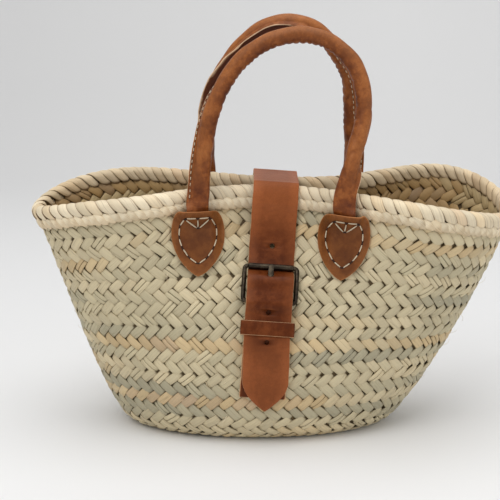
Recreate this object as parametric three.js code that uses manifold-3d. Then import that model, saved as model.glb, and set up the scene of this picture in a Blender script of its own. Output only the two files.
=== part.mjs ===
// Straw market bag: a braided palm-leaf basket with an overcast rim, two rolled leather handles sewn on
// under four leather tabs, and a leather closing strap with a roller buckle across the pinched mouth.
// Millimetres, +Z up. The origin is the middle of the flat base, on the surface the bag stands on.
// +X runs along the bag's length and -Y is its front, the side with the buckle.
import * as THREE from "three";
import { mergeVertices } from "three/addons/utils/BufferGeometryUtils.js";
import Module from "manifold-3d";

const wasm = await Module();
wasm.setup();

// Basket
const BASE_LENGTH = 190;
const BASE_DEPTH = 100;
const BELLY_DEPTH = 150;
const MOUTH_LENGTH = 428;
const MOUTH_DEPTH = 192;
const RIM_HEIGHT = 218;
const WALL = 5;
const PINCHED_DEPTH = 41; // outside depth of the mouth where the closing strap draws it together
const FRONT_PINCH_SPREAD = 96; // how far along the bag the pinch reaches
const BACK_PINCH_SPREAD = 108;
const PINCH_START = 0.33; // share of the height where the pinch begins
const FRONT_PINCH_X = -10; // the front wall is drawn in most here, and the back wall a little further right
const BACK_PINCH_X = 24;
const LOBE_BIAS = 0.2; // how much deeper the right half of the mouth stands than the left
const END_DROOP = 20; // how far the rim hangs at the two ends
const RIM_WAVE = 9; // how far the rim tips up at the back and down at the front on the right
const SIDE_LEAN = 14; // the whole bag leans to the right by this much at the rim
const BACK_LEAN = 6;
const BELLY_RISE = 0.055; // share of the height over which the base rounds into the belly
const FLARE_POWER = 2.2; // the belly widens towards the mouth with this power of the height
const PINCH_POWER = 2.3; // how squarely the pinch ends along the bag
const LOBE_START = 0.3; // share of the height where the lobes begin to differ
const WAVE_START = 0.2; // share of the half length where the rim begins to tip

// Rim: an overcast roll that covers the edge of the wall, and a twisted cord sewn on below it
const ROLL_HEIGHT = 11;
const ROLL_THICKNESS = 11.5;
const CORD_HEIGHT = 7.5;
const CORD_THICKNESS = 5;

// Handles
const HANDLE_DIAMETER = 14.5;
const SLEEVE_LEATHER = 2.3;
const SEAM_WIDTH = 4; // how far the stitched seam stands out of the roll
const SEAM_THICKNESS = 3.6;
const LEG_WIDTH = 19.5;
const LEG_THICKNESS = 4.8;
const LEG_FLAT = 26; // length over which a leg goes from flat to round
const LEG_SLANT = THREE.MathUtils.degToRad(45); // the top of a fixed leg end slants down to the outside
const HINGE_RISE = 12; // the handles bend this far above the tabs
const FRONT_LEG_X = [-52.3, 73.5];
const BACK_LEG_X = [-49, 90];
// [x, height above the rim] along the middle lines of the handles, between the two hinge points
const FRONT_WAY = [
  [-48.9, 20], [-45.8, 43], [-42, 66], [-33, 90], [-19, 112], [-4.9, 124.8], [12.6, 134.3], [35, 138.4],
  [53.8, 135.5], [66.7, 129], [81.8, 113.5], [89.5, 90.5], [89.3, 68], [83.4, 45], [77.5, 23], [74.3, 8],
];
const BACK_WAY = [
  [-47.8, 24], [-44.6, 66], [-40, 85], [-30.4, 103], [-11.5, 127.5], [6.4, 141], [26, 145.4],
  [42.7, 143.2], [58, 134.5], [81, 100.5], [85, 81], [86.3, 54.6], [87.8, 28],
];
const FRONT_APEX_Y = -25;
const BACK_APEX_Y = 31;

// Tabs
const TAB_WIDTH = 49;
const TAB_HEIGHT = 60;
const TAB_LEANS = [0, 4.5]; // degrees, of the left and the right tab, as seen from the front
const TAB_LEATHER = 2.5;
const TAB_OVERLAP = 2.5; // the top edge of a tab lies this far over the rim cord
const TAB_RISE = 8; // length over which a tab rises to that edge

// Closing strap, anchor strap and keeper
const STRAP_WIDTH = 40;
const STRAP_LEATHER = 2.8;
const STRAP_FOOT_X = 0.3; // where the middle line of the strap would meet the ground
const STRAP_TILT = THREE.MathUtils.degToRad(4);
const TAIL_TURN = THREE.MathUtils.degToRad(2.4); // the free end hangs a little straighter than the strap
const STRAP_END_BACK = 152; // height of the sewn end on the back wall
const STRAP_TIP = 36; // height of the pointed end
const TIP_LENGTH = 27; // length of the pointed part
const POINT_POWER = 1.9; // how round the pointed part is: 1 is a straight point
const FLEX_HEIGHT = 100.3; // the free end of the strap bends here, just below the keeper
const HOLE_DIAMETER = 4.6;
const HOLE_HEIGHTS = [174, 124, 96.8]; // of the holes that the prong isn't in
const PRONG_SLOT = 10.5; // length of the slot that the prong is in
const ANCHOR_WIDTH = 40;
const ANCHOR_LEATHER = 2.2;
const ANCHOR_END = 47;
const ANCHOR_FLAP = 91; // height of the short end of the folded anchor strap
const ANCHOR_FREE = 22; // the anchor strap lies flat on the wall up to this far below that end
const KEEPER_HEIGHT = 107.8;
const KEEPER_WIDTH = 12.5;
const KEEPER_TRAVEL = 4;
const KEEPER_INNER = 43;
const KEEPER_LEATHER = 1.8;
const KEEPER_CORNER = 2.4; // outside radius of the keeper's corners

// Roller buckle
const BUCKLE_WIDTH = 50;
const BUCKLE_PITCH = 31.5; // heel bar to roller bar
const HEEL_HEIGHT = 128;
const BAR_DIAMETER = 4.2;
const ROLLER_BAR_DIAMETER = 2.8;
const ROLLER_DIAMETER = 5.4;
const ROLLER_LENGTH = 39;
const CORNER_RADIUS = 5;
const PRONG_WIDTH = 4.4;
const PRONG_THICKNESS = 2.4;
const PRONG_PLAY = THREE.MathUtils.degToRad(3); // the prong lifts this far before the strap stops it

// Clearances
const GAP = 0.3; // between hard or folded pieces that touch
const LIE = 0.8; // between a piece and the uneven straw that it lies on

// Facets
const AROUND = 64;
const HANDLE_STEPS = 33;
const STRAP_STEPS = 84;
const ANCHOR_STEPS = 60;

const X_AXIS = new THREE.Vector3(1, 0, 0);
const Y_AXIS = new THREE.Vector3(0, 1, 0);
const FRONT = -1;
const BACK = 1;

const step = (t) => THREE.MathUtils.smoothstep(t, 0, 1);
const lerp = THREE.MathUtils.lerp;

const straw = new THREE.MeshStandardMaterial({ color: 0xc8b996, roughness: 0.75, metalness: 0 });
const paleStraw = new THREE.MeshStandardMaterial({ color: 0xdccaa8, roughness: 0.7, metalness: 0 });
const leather = new THREE.MeshStandardMaterial({ color: 0x8a4a22, roughness: 0.55, metalness: 0 });
const rope = new THREE.MeshStandardMaterial({ color: 0xb59a6a, roughness: 0.9, metalness: 0 });
const gunmetal = new THREE.MeshStandardMaterial({ color: 0x3b3833, roughness: 0.4, metalness: 1 });

// A closed surface through rings of equally many points. It ends in flat fans, or in the given poles,
// or joins its last ring to its first. Faces are turned outwards at the end.
function loft(rings, { loop = false, startPole = null, endPole = null } = {}) {
  const count = rings[0].length;
  const points = rings.flat();
  const faces = [];
  const pairs = loop ? rings.length : rings.length - 1;
  for (let i = 0; i < pairs; i++) {
    const low = i * count;
    const high = ((i + 1) % rings.length) * count;
    for (let j = 0; j < count; j++) {
      const k = (j + 1) % count;
      faces.push(low + j, low + k, high + k, low + j, high + k, high + j);
    }
  }
  if (!loop) {
    const last = (rings.length - 1) * count;
    const start = points.push(startPole ?? centreOf(rings[0])) - 1;
    const end = points.push(endPole ?? centreOf(rings.at(-1))) - 1;
    for (let j = 0; j < count; j++) {
      const k = (j + 1) % count;
      faces.push(start, k, j, end, last + j, last + k);
    }
  }
  return closed(points, faces);
}

function centreOf(ring) {
  const sum = ring.reduce((total, point) => total.add(point), new THREE.Vector3());
  return sum.divideScalar(ring.length);
}

function closed(points, faces) {
  let volume = 0;
  for (let i = 0; i < faces.length; i += 3) {
    const [a, b, c] = [points[faces[i]], points[faces[i + 1]], points[faces[i + 2]]];
    volume += a.dot(new THREE.Vector3().crossVectors(b, c));
  }
  if (volume < 0) faces.reverse();
  const geometry = new THREE.BufferGeometry().setFromPoints(points);
  geometry.setIndex(faces);
  geometry.computeVertexNormals();
  return geometry;
}

const curveThrough = (points) => new THREE.CatmullRomCurve3(points, false, "centripetal");

// Booleans
function solid(geometry) {
  const bare = geometry.clone();
  bare.deleteAttribute("normal");
  bare.deleteAttribute("uv");
  const merged = mergeVertices(bare, 1e-4);
  const mesh = new wasm.Mesh({
    numProp: 3,
    vertProperties: merged.attributes.position.array,
    triVerts: new Uint32Array(merged.index.array),
  });
  return new wasm.Manifold(mesh);
}

function cut(geometry, tools) {
  let body = solid(geometry);
  for (const tool of tools) body = body.subtract(solid(tool));
  const mesh = body.getMesh();
  const result = new THREE.BufferGeometry();
  result.setAttribute("position", new THREE.BufferAttribute(mesh.vertProperties, 3));
  result.setIndex(new THREE.BufferAttribute(mesh.triVerts, 1));
  result.computeVertexNormals();
  return result;
}

function named(name, geometry, material) {
  const mesh = new THREE.Mesh(geometry, material);
  mesh.name = name;
  return mesh;
}

// A piece that moves. Its own origin and axes are those of its joint.
function movable(piece, place) {
  piece.traverse((part) => part.geometry?.applyMatrix4(place.clone().invert()));
  piece.applyMatrix4(place);
  return piece;
}

// The outside of the basket wall. theta goes round the bag from +X, and v goes up it from 0 to 1.
function wallPoint(theta, v) {
  const c = Math.cos(theta);
  const s = Math.sin(theta);
  const halfLength = lerp(BASE_LENGTH, MOUTH_LENGTH, Math.sqrt(v)) / 2;
  const belly = ((BELLY_DEPTH - BASE_DEPTH) / 2) * (1 - Math.exp(-v / BELLY_RISE));
  const halfDepth = BASE_DEPTH / 2 + belly + ((MOUTH_DEPTH - BELLY_DEPTH) / 2) * v ** FLARE_POWER;
  const pinchX = lerp(FRONT_PINCH_X, BACK_PINCH_X, (1 + s) / 2);
  const spread = lerp(FRONT_PINCH_SPREAD, BACK_PINCH_SPREAD, (1 + s) / 2);
  const fromStrap = Math.abs((c * MOUTH_LENGTH) / 2 - pinchX) / spread;
  const drawn = step((v - PINCH_START) / (1 - PINCH_START)) * Math.exp(-(fromStrap ** PINCH_POWER));
  const pinch = 1 - (1 - PINCHED_DEPTH / MOUTH_DEPTH) * drawn;
  const lobes = 1 + LOBE_BIAS * step((v - LOBE_START) / (1 - LOBE_START)) * c;
  const wave = RIM_WAVE * s * step((c - WAVE_START) / (1 - WAVE_START)) * step(v);
  const height = RIM_HEIGHT - END_DROOP * Math.abs(c) ** 5 + wave;
  return new THREE.Vector3(
    halfLength * c + SIDE_LEAN * Math.sin((v * Math.PI) / 2),
    halfDepth * s * pinch * lobes + BACK_LEAN * v,
    height * v,
  );
}

// The wall's point with the directions along it, up it and out of it.
function wallFrame(theta, v) {
  const d = 1e-4;
  const low = Math.max(v - d, 1e-5);
  const point = wallPoint(theta, v);
  const along = wallPoint(theta + d, Math.max(v, d)).sub(wallPoint(theta - d, Math.max(v, d))).normalize();
  const up = wallPoint(theta, v + d).sub(wallPoint(theta, low)).normalize();
  const out = new THREE.Vector3().crossVectors(along, up).normalize();
  up.crossVectors(out, along);
  return { point, along, up, out };
}

const at = (frame, outward, upward) =>
  frame.point.clone().addScaledVector(frame.out, outward).addScaledVector(frame.up, upward);

// Angles round the bag, closer together on the long sides, where the mouth is drawn in.
const ANGLES = Array.from({ length: AROUND }, (_, i) => {
  const turn = (2 * Math.PI * i) / AROUND;
  return turn + 0.15 * Math.sin(2 * turn);
});

// The wall's frame on one long side at a given x and z.
function sideFrame(side, x, z) {
  let v = z / RIM_HEIGHT;
  let theta = (side * Math.PI) / 2;
  for (let i = 0; i < 12; i++) {
    const lean = SIDE_LEAN * Math.sin((v * Math.PI) / 2);
    const half = lerp(BASE_LENGTH, MOUTH_LENGTH, Math.sqrt(v)) / 2;
    theta = side * Math.acos(THREE.MathUtils.clamp((x - lean) / half, -1, 1));
    v = (v * z) / wallPoint(theta, v).z;
  }
  return wallFrame(theta, v);
}

// Basket
function basketBody() {
  const outer = [0, 0.004, 0.015, 0.04, 0.09, 0.17, 0.28, 0.4, 0.52, 0.63, 0.73, 0.82, 0.89, 0.945, 0.975, 1];
  const inner = [1, 0.95, 0.86, 0.7, 0.49, 0.27, 0.1, 0.03, 0];
  const ring = (v, depth) => ANGLES.map((theta) => at(wallFrame(theta, v), -depth, 0));
  const rings = [...outer.map((v) => ring(v, 0)), ...inner.map((v) => ring(v, WALL))];
  return loft(rings, {
    startPole: new THREE.Vector3(0, 0, 0),
    endPole: new THREE.Vector3(0, 0, WALL),
  });
}

// The roll covers the edge of the wall like a clip, so its section is an arch with a slot for the wall.
function rimRoll() {
  const half = ROLL_THICKNESS / 2;
  const middle = -WALL / 2;
  const top = ROLL_HEIGHT / 2;
  const section = [
    [LIE, -top],
    [middle + half * 0.9, -top],
    [middle + half * 0.95, top * 0.5],
    [middle + half * 0.35, top],
    [middle - half * 0.35, top],
    [middle - half * 0.95, top * 0.5],
    [middle - half * 0.9, -top],
    [-WALL - LIE, -top],
    [-WALL - LIE, GAP],
    [LIE, GAP],
  ];
  const rings = ANGLES.map((theta) => {
    const frame = wallFrame(theta, 1);
    return section.map(([outward, upward]) => at(frame, outward, upward));
  });
  return loft(rings, { loop: true });
}

const CORD_TOP = -ROLL_HEIGHT / 2 - GAP; // measured up the wall from its edge
const CORD_MIDDLE = CORD_TOP - CORD_HEIGHT / 2;

// The wall's frame at a distance below its edge.
function belowEdge(theta, distance) {
  const slice = 0.02;
  const length = wallPoint(theta, 1).distanceTo(wallPoint(theta, 1 - slice));
  return wallFrame(theta, 1 - (slice * distance) / length);
}

function rimCord() {
  const rings = ANGLES.map((theta) => {
    const frame = belowEdge(theta, -CORD_MIDDLE);
    return Array.from({ length: 7 }, (_, i) => {
      const turn = (Math.PI * i) / 6;
      const outward = LIE + CORD_THICKNESS * Math.sin(turn);
      return at(frame, outward, (-CORD_HEIGHT / 2) * Math.cos(turn));
    });
  });
  return loft(rings, { loop: true });
}

// Tabs and the handles' fixed leg ends.
// A tab lies on the wall, and is measured from its middle: a to its right and b up it.
const LEG_END_LOW = -0.3 * TAB_HEIGHT;
const TAB_TOP = TAB_HEIGHT / 2;
const LEG_CLIMB = 0.4 * TAB_TOP; // from here up a leg climbs over the rim cord
const CORD_REACH = CORD_THICKNESS + LIE;

class LegSeat {
  constructor(side, x, lean) {
    this.side = side;
    this.lean = lean;
    const theta = side * Math.acos((x - SIDE_LEAN) / (MOUTH_LENGTH / 2));
    const top = belowEdge(theta, CORD_HEIGHT - CORD_TOP - TAB_OVERLAP);
    const { point, out } = sideFrame(side, x, at(top, 0, -TAB_HEIGHT / 2).z);
    this.middle = point;
    this.up = new THREE.Vector3(0, -out.z / out.y, 1).normalize();
    this.across = new THREE.Vector3().crossVectors(this.up, out);
    this.out = out;
  }

  // The point of the bag above (a, b) on the tab, and a height off the wall.
  place(a, b, height) {
    const flat = this.middle.clone().addScaledVector(this.across, a).addScaledVector(this.up, b);
    const { out } = sideFrame(this.side, flat.x, flat.z);
    return at(sideFrame(this.side, flat.x - out.x * height, flat.z), height, 0);
  }

  legLeather(b) {
    return lerp(LEG_THICKNESS / 3, LEG_THICKNESS, step((b - LEG_END_LOW) / -LEG_END_LOW));
  }

  // Height of the middle of the leg off the wall. It climbs over the rim cord.
  legHeight(b) {
    const flat = LIE + this.legLeather(b) / 2;
    const over = CORD_REACH + LIE + LEG_THICKNESS / 2 + (LEG_WIDTH / 2) * this.toe();
    return lerp(flat, over, step((b - LEG_CLIMB) / (TAB_TOP - LEG_CLIMB)));
  }

  // How far the wall is turned from the bag's length here, as a sine.
  toe() {
    return Math.abs(this.across.y);
  }

  pivot() {
    const b = TAB_TOP + HINGE_RISE;
    return this.place(0, b, this.legHeight(b));
  }

  // Height of the inner face of the tab, which arches over the leg.
  tabHeight(a, b) {
    const over = this.legHeight(b) + this.legLeather(b) / 2 + GAP;
    const sideways = 1 - step((Math.abs(a) - LEG_WIDTH / 2 - 2) / (TAB_WIDTH / 2 - LEG_WIDTH / 2 - 3));
    const upward = step((b + 0.47 * TAB_HEIGHT) / (0.13 * TAB_HEIGHT));
    const edge = CORD_REACH * step((b - TAB_TOP + TAB_RISE + 2 * TAB_OVERLAP) / TAB_RISE);
    return LIE + Math.max(over * sideways * upward, edge);
  }
}

function tabOutline() {
  const w = TAB_WIDTH / 2;
  const h = TAB_HEIGHT / 2;
  const half = new THREE.Path();
  half.moveTo(0, -h);
  half.bezierCurveTo(0.45 * w, -0.88 * h, w, -0.35 * h, w, 0.25 * h);
  half.bezierCurveTo(w, 0.68 * h, 0.82 * w, 0.97 * h, 0.6 * w, h);
  half.lineTo(0, 0.98 * h);
  const right = half.getSpacedPoints(15);
  const left = right.slice(1, -1).reverse().map((p) => new THREE.Vector2(-p.x, p.y));
  return [...right, ...left];
}

function tab(seat) {
  const outline = tabOutline();
  const origin = new THREE.Vector2();
  const centre = new THREE.Vector2(0, 0.1 * TAB_HEIGHT);
  const shares = [0.34, 0.6, 0.82, 1];
  const ring = (share, leather) =>
    outline.map((p) => {
      const q = centre.clone().lerp(p, share).rotateAround(origin, -seat.lean);
      return seat.place(q.x, q.y, seat.tabHeight(q.x, q.y) + leather);
    });
  const lower = shares.map((share) => ring(share, 0));
  const upper = shares.map((share) => ring(share, TAB_LEATHER)).reverse();
  const pole = (leather) => seat.place(centre.x, centre.y, seat.tabHeight(centre.x, centre.y) + leather);
  return loft([...lower, ...upper], { startPole: pole(0), endPole: pole(TAB_LEATHER) });
}

// A flat strip of leather through stations of middle point, half width and half thickness vectors.
function strip(stations) {
  const rings = stations.map(({ middle, wide, thick }) => [
    middle.clone().sub(wide).sub(thick),
    middle.clone().add(wide).sub(thick),
    middle.clone().add(wide).add(thick),
    middle.clone().sub(wide).add(thick),
  ]);
  return loft(rings);
}

// The flat end of a leg follows the wall under its tab, and turns to face its hinge line above it.
// Its top is cut on a slant, clear of the knuckle that turns on the hinge line, so that the handle can
// turn down over it.
const KNUCKLE = LEG_THICKNESS / 2;

function legEnd(seat, hinge) {
  const steps = 14;
  const top = TAB_TOP + HINGE_RISE;
  const below = (outward) => (KNUCKLE + GAP + outward * Math.sin(LEG_SLANT)) / Math.cos(LEG_SLANT);
  const shoulder = top - below(KNUCKLE);
  const pivot = seat.pivot();
  const rise = new THREE.Vector3().crossVectors(seat.out, hinge).normalize();
  rise.multiplyScalar(Math.sign(rise.z));
  const out = new THREE.Vector3().crossVectors(hinge, rise).normalize();
  out.multiplyScalar(Math.sign(out.dot(seat.out)));
  const rings = Array.from({ length: steps + 1 }, (_, i) => {
    const b = lerp(LEG_END_LOW, shoulder, i / steps);
    const half = seat.legLeather(b) / 2;
    const turned = step((b - TAB_TOP - LIE) / (shoulder - TAB_TOP - LIE));
    return [[-1, -1], [1, -1], [1, 1], [-1, 1]].map(([a, h]) => {
      const lying = seat.place((a * LEG_WIDTH) / 2, b, seat.legHeight(b) + h * half);
      const facing = pivot.clone().addScaledVector(hinge, (-seat.side * a * LEG_WIDTH) / 2);
      const drop = i === steps ? below(h * half) : top - b;
      facing.addScaledVector(rise, -drop).addScaledVector(out, h * half);
      return lying.lerp(facing, turned);
    });
  });
  return loft(rings);
}

// Handles: a rolled leather sleeve, stitched along a seam that stands out of it, on a rope core.
const SIDES = 12;
const SEAM_SPREAD = 0.5; // half the angle of the roll that the seam's foot takes up

// One point of the sleeve's outside, as distances along the two section axes.
function rolledPoint(i, seamAngle) {
  const radius = HANDLE_DIAMETER / 2;
  if (i < 2) {
    const sideways = (i === 0 ? -1 : 1) * (SEAM_THICKNESS / 2);
    const reach = radius + SEAM_WIDTH;
    return [
      reach * Math.cos(seamAngle) - sideways * Math.sin(seamAngle),
      reach * Math.sin(seamAngle) + sideways * Math.cos(seamAngle),
    ];
  }
  const turn = seamAngle + lerp(SEAM_SPREAD, 2 * Math.PI - SEAM_SPREAD, (i - 2) / (SIDES - 3));
  return [radius * Math.cos(turn), radius * Math.sin(turn)];
}

// The same point where the leg is pressed flat: the seam lies in the edge of the strip.
function flatPoint(angle, width, thickness) {
  const c = Math.cos(angle);
  const s = Math.sin(angle);
  const squared = (value, power) => Math.sign(value) * Math.abs(value) ** power;
  return [(width / 2) * squared(c, 0.45), (thickness / 2) * squared(s, 0.45)];
}

class Handle {
  constructor(seats, way, apexY, seamTurns) {
    [this.left, this.right] = seats.map((seat) => seat.pivot());
    this.hinge = this.right.clone().sub(this.left).normalize();
    this.seamTurns = seamTurns;
    const apexZ = RIM_HEIGHT + Math.max(...way.map(([, rise]) => rise));
    const points = way.map(([x, rise], i) => {
      const z = RIM_HEIGHT + rise;
      const foot = i < way.length / 2 ? this.left : this.right;
      return new THREE.Vector3(x, lerp(foot.y, apexY, (z - foot.z) / (apexZ - foot.z)), z);
    });
    this.path = curveThrough([this.left, ...points, this.right]);
    this.length = this.path.getLength();
  }

  seamAngle(share) {
    const turns = this.seamTurns;
    const next = turns.findIndex(([place]) => place >= share);
    if (next <= 0) return THREE.MathUtils.degToRad(turns[Math.max(next, 0)][1]);
    const [from, low] = turns[next - 1];
    const [to, high] = turns[next];
    return THREE.MathUtils.degToRad(lerp(low, high, step((share - from) / (to - from))));
  }

  // 0 where the leg is flat, 1 where it is round.
  roundness(share) {
    const fromEnd = Math.min(share, 1 - share) * this.length;
    return step(fromEnd / LEG_FLAT);
  }

  frame(share) {
    const point = this.path.getPointAt(share);
    const ahead = this.path.getTangentAt(share);
    const inward = new THREE.Vector3().crossVectors(Y_AXIS, ahead).normalize();
    const flatInward = this.hinge.clone().multiplyScalar(share < 0.5 ? 1 : -1);
    inward.lerp(flatInward, 1 - this.roundness(share)).normalize();
    const backward = new THREE.Vector3().crossVectors(ahead, inward).normalize();
    return { point, ahead, inward, backward };
  }

  ring(share, pointOf, shift = 0) {
    const { point, ahead, inward, backward } = this.frame(share);
    return Array.from({ length: SIDES }, (_, i) => {
      const [p, q] = pointOf(i);
      const place = point.clone().addScaledVector(ahead, shift);
      return place.addScaledVector(inward, p).addScaledVector(backward, q);
    });
  }

  outerRing(share, thickness = LEG_THICKNESS, shift = 0) {
    const seam = this.seamAngle(share);
    const round = this.roundness(share);
    return this.ring(share, (i) => {
      const [p, q] = rolledPoint(i, seam);
      const turn = Math.atan2(q, p);
      const [flatP, flatQ] = flatPoint(turn, LEG_WIDTH, thickness);
      return [lerp(flatP, p, round), lerp(flatQ, q, round)];
    }, shift);
  }

  boreRing(share, shift = 0) {
    const seam = this.seamAngle(share);
    const round = this.roundness(share);
    const bore = HANDLE_DIAMETER / 2 - SLEEVE_LEATHER;
    return this.ring(share, (i) => {
      const [p, q] = rolledPoint(i, seam);
      const turn = Math.atan2(q, p);
      const [flatP, flatQ] = flatPoint(turn, LEG_WIDTH - 3 * SLEEVE_LEATHER, LEG_THICKNESS / 6);
      return [lerp(flatP, bore * Math.cos(turn), round), lerp(flatQ, bore * Math.sin(turn), round)];
    }, shift);
  }

  shares() {
    const flat = [0, 0.25, 0.5, 0.75, 1].map((part) => (part * LEG_FLAT) / this.length);
    const middle = HANDLE_STEPS - 2 * flat.length;
    const low = flat.at(-1);
    const round = Array.from({ length: middle - 1 }, (_, i) => lerp(low, 1 - low, (i + 1) / middle));
    return [...flat, ...round, ...flat.toReversed().map((share) => 1 - share)];
  }

  // The ends are rounded off about the hinge line, so that they turn in front of the fixed leg ends.
  sleeve() {
    const shares = this.shares();
    const caps = [0.92, 0.6].map((part) => part * KNUCKLE);
    const thin = (back) => 2 * Math.sqrt(KNUCKLE ** 2 - back ** 2);
    const outer = [
      ...caps.map((back) => this.outerRing(0, thin(back), -back)),
      ...shares.map((share) => this.outerRing(share)),
      ...caps.toReversed().map((back) => this.outerRing(1, thin(back), back)),
    ];
    const bore = [
      this.boreRing(0, -caps[0]),
      ...shares.map((share) => this.boreRing(share)),
      this.boreRing(1, caps[0]),
    ];
    return loft([...outer, ...bore.toReversed()], { loop: true });
  }

  core() {
    const radius = HANDLE_DIAMETER / 2 - SLEEVE_LEATHER - 4 * GAP;
    const shares = this.shares().slice(4, -4);
    const rings = shares.map((share) => {
      const { point, inward, backward } = this.frame(share);
      return Array.from({ length: 8 }, (_, i) => {
        const turn = (2 * Math.PI * i) / 8;
        const place = point.clone().addScaledVector(inward, radius * Math.cos(turn));
        return place.addScaledVector(backward, radius * Math.sin(turn));
      });
    });
    return loft(rings);
  }
}

// Closure. It is drawn in the strap's own plane: u across the strap, y as on the bag, w up the strap.
const closure = new THREE.Group();
closure.name = "closure";
closure.position.set(STRAP_FOOT_X, 0, 0);
closure.rotation.y = STRAP_TILT;
closure.updateMatrixWorld(true);

// The y of the wall under the strap at height w: the part of its width that stands out furthest.
function strapWall(side, w) {
  const across = [-1, -0.5, 0, 0.5, 1].map((part) => {
    const place = new THREE.Vector3((part * STRAP_WIDTH) / 2, 0, w).applyMatrix4(closure.matrixWorld);
    return sideFrame(side, place.x, place.z).point.y;
  });
  return side === FRONT ? Math.min(...across) : Math.max(...across);
}

// A point off that wall, square to it in the strap's plane.
function offWall(side, w, height) {
  const slope = (strapWall(side, w + 1) - strapWall(side, w - 1)) / 2;
  const out = new THREE.Vector3(0, 1, -slope).normalize().multiplyScalar(side);
  return new THREE.Vector3(0, strapWall(side, w), w).addScaledVector(out, height);
}

// Heights of the layers off the front wall at the keeper and the heel bar.
const INNER_LAYER = LIE + KEEPER_LEATHER + GAP + ANCHOR_LEATHER / 2;
const HEEL_CENTRE = INNER_LAYER + ANCHOR_LEATHER / 2 + GAP + BAR_DIAMETER / 2;
const OUTER_LAYER = INNER_LAYER + ANCHOR_LEATHER + GAP;
const TAIL_LAYER = OUTER_LAYER + ANCHOR_LEATHER / 2 + 2 * GAP + STRAP_LEATHER / 2;
const THROUGH_LAYER = LIE + STRAP_LEATHER / 2;
const ROLLER_CENTRE = THROUGH_LAYER + STRAP_LEATHER / 2 + GAP + ROLLER_DIAMETER / 2;

// The buckle lies in a plane through its heel bar and its roller.
const heel = offWall(FRONT, HEEL_HEIGHT, HEEL_CENTRE);
const rollerGuess = offWall(FRONT, HEEL_HEIGHT + BUCKLE_PITCH * 0.93, ROLLER_CENTRE);
const buckleUp = rollerGuess.clone().sub(heel).normalize();
const buckleOut = new THREE.Vector3(0, -buckleUp.z, buckleUp.y);
const inBuckle = (up, out) =>
  heel.clone().addScaledVector(buckleUp, up).addScaledVector(buckleOut, out);

// Prong, in the buckle's plane: its shank runs from over the heel bar to over the roller.
const EYE_RADIUS = BAR_DIAMETER / 2 + GAP + PRONG_THICKNESS * 0.8;
const SHANK_LOW = EYE_RADIUS - PRONG_THICKNESS / 2;
const SHANK_HIGH = ROLLER_DIAMETER / 2 + GAP + PRONG_THICKNESS / 2;
const PRONG_HOLE = 0.74 * BUCKLE_PITCH; // where the prong passes through the strap

function prong() {
  const half = PRONG_THICKNESS / 2;
  const tip = BUCKLE_PITCH + ROLLER_DIAMETER / 2 + 1;
  const outline = new THREE.Shape();
  const meet = Math.asin((SHANK_LOW - half) / EYE_RADIUS);
  outline.moveTo(EYE_RADIUS * Math.cos(meet), SHANK_LOW - half);
  outline.lineTo(BUCKLE_PITCH, SHANK_HIGH - half);
  outline.lineTo(tip, SHANK_HIGH - half * 0.7);
  outline.quadraticCurveTo(tip + half, SHANK_HIGH, tip, SHANK_HIGH + half * 0.7);
  outline.lineTo(BUCKLE_PITCH, SHANK_HIGH + half);
  outline.lineTo(0, EYE_RADIUS);
  outline.absarc(0, 0, EYE_RADIUS, Math.PI / 2, 2 * Math.PI + meet, false);
  const bore = new THREE.Path();
  bore.absarc(0, 0, BAR_DIAMETER / 2 + GAP, 0, 2 * Math.PI, true);
  outline.holes.push(bore);
  const geometry = new THREE.ExtrudeGeometry(outline, {
    depth: PRONG_WIDTH,
    bevelEnabled: false,
    curveSegments: 12,
  });
  geometry.translate(0, 0, -PRONG_WIDTH / 2);
  return inPlaneOfBuckle(geometry);
}

// Turns a shape drawn as (up, out, across) into the buckle's place.
function inPlaneOfBuckle(geometry) {
  const across = new THREE.Vector3().crossVectors(buckleUp, buckleOut);
  const turn = new THREE.Matrix4().makeBasis(buckleUp, buckleOut, across).setPosition(heel);
  return geometry.applyMatrix4(turn);
}

// One loop of round bar with rounded corners, thinner where it carries the roller.
function buckleFrame() {
  const halfWidth = (BUCKLE_WIDTH - BAR_DIAMETER) / 2;
  const radius = CORNER_RADIUS - BAR_DIAMETER / 2;
  const shoulder = ROLLER_LENGTH / 2 + GAP;
  const stations = [];
  const corner = (across, up, from) => {
    for (let i = 0; i <= 4; i++) {
      const turn = from + (Math.PI / 8) * i;
      stations.push({
        across: across + radius * Math.cos(turn),
        up: up + radius * Math.sin(turn),
        turn,
        bar: BAR_DIAMETER / 2,
      });
    }
  };
  corner(halfWidth - radius, BUCKLE_PITCH - radius, 0);
  for (const [across, bar] of [[shoulder, BAR_DIAMETER], [shoulder, ROLLER_BAR_DIAMETER],
    [-shoulder, ROLLER_BAR_DIAMETER], [-shoulder, BAR_DIAMETER]]) {
    stations.push({ across, up: BUCKLE_PITCH, turn: Math.PI / 2, bar: bar / 2 });
  }
  corner(-halfWidth + radius, BUCKLE_PITCH - radius, Math.PI / 2);
  corner(-halfWidth + radius, radius, Math.PI);
  corner(halfWidth - radius, radius, (3 * Math.PI) / 2);
  const rings = stations.map(({ across, up, turn, bar }) =>
    Array.from({ length: 10 }, (_, i) => {
      const around = (2 * Math.PI * i) / 10;
      const sideways = bar * Math.cos(around);
      return new THREE.Vector3(
        up + sideways * Math.sin(turn),
        bar * Math.sin(around),
        across + sideways * Math.cos(turn),
      );
    }),
  );
  return inPlaneOfBuckle(loft(rings, { loop: true }));
}

function buckleRoller() {
  const bore = ROLLER_BAR_DIAMETER / 2 + GAP;
  const outside = ROLLER_DIAMETER / 2;
  const end = ROLLER_LENGTH / 2;
  const profile = [[bore, -end], [outside, -end], [outside, end], [bore, end], [bore, -end]];
  const geometry = new THREE.LatheGeometry(profile.map(([r, y]) => new THREE.Vector2(r, y)), 24);
  geometry.rotateX(Math.PI / 2);
  geometry.translate(BUCKLE_PITCH, 0, 0);
  return inPlaneOfBuckle(geometry);
}

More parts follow.
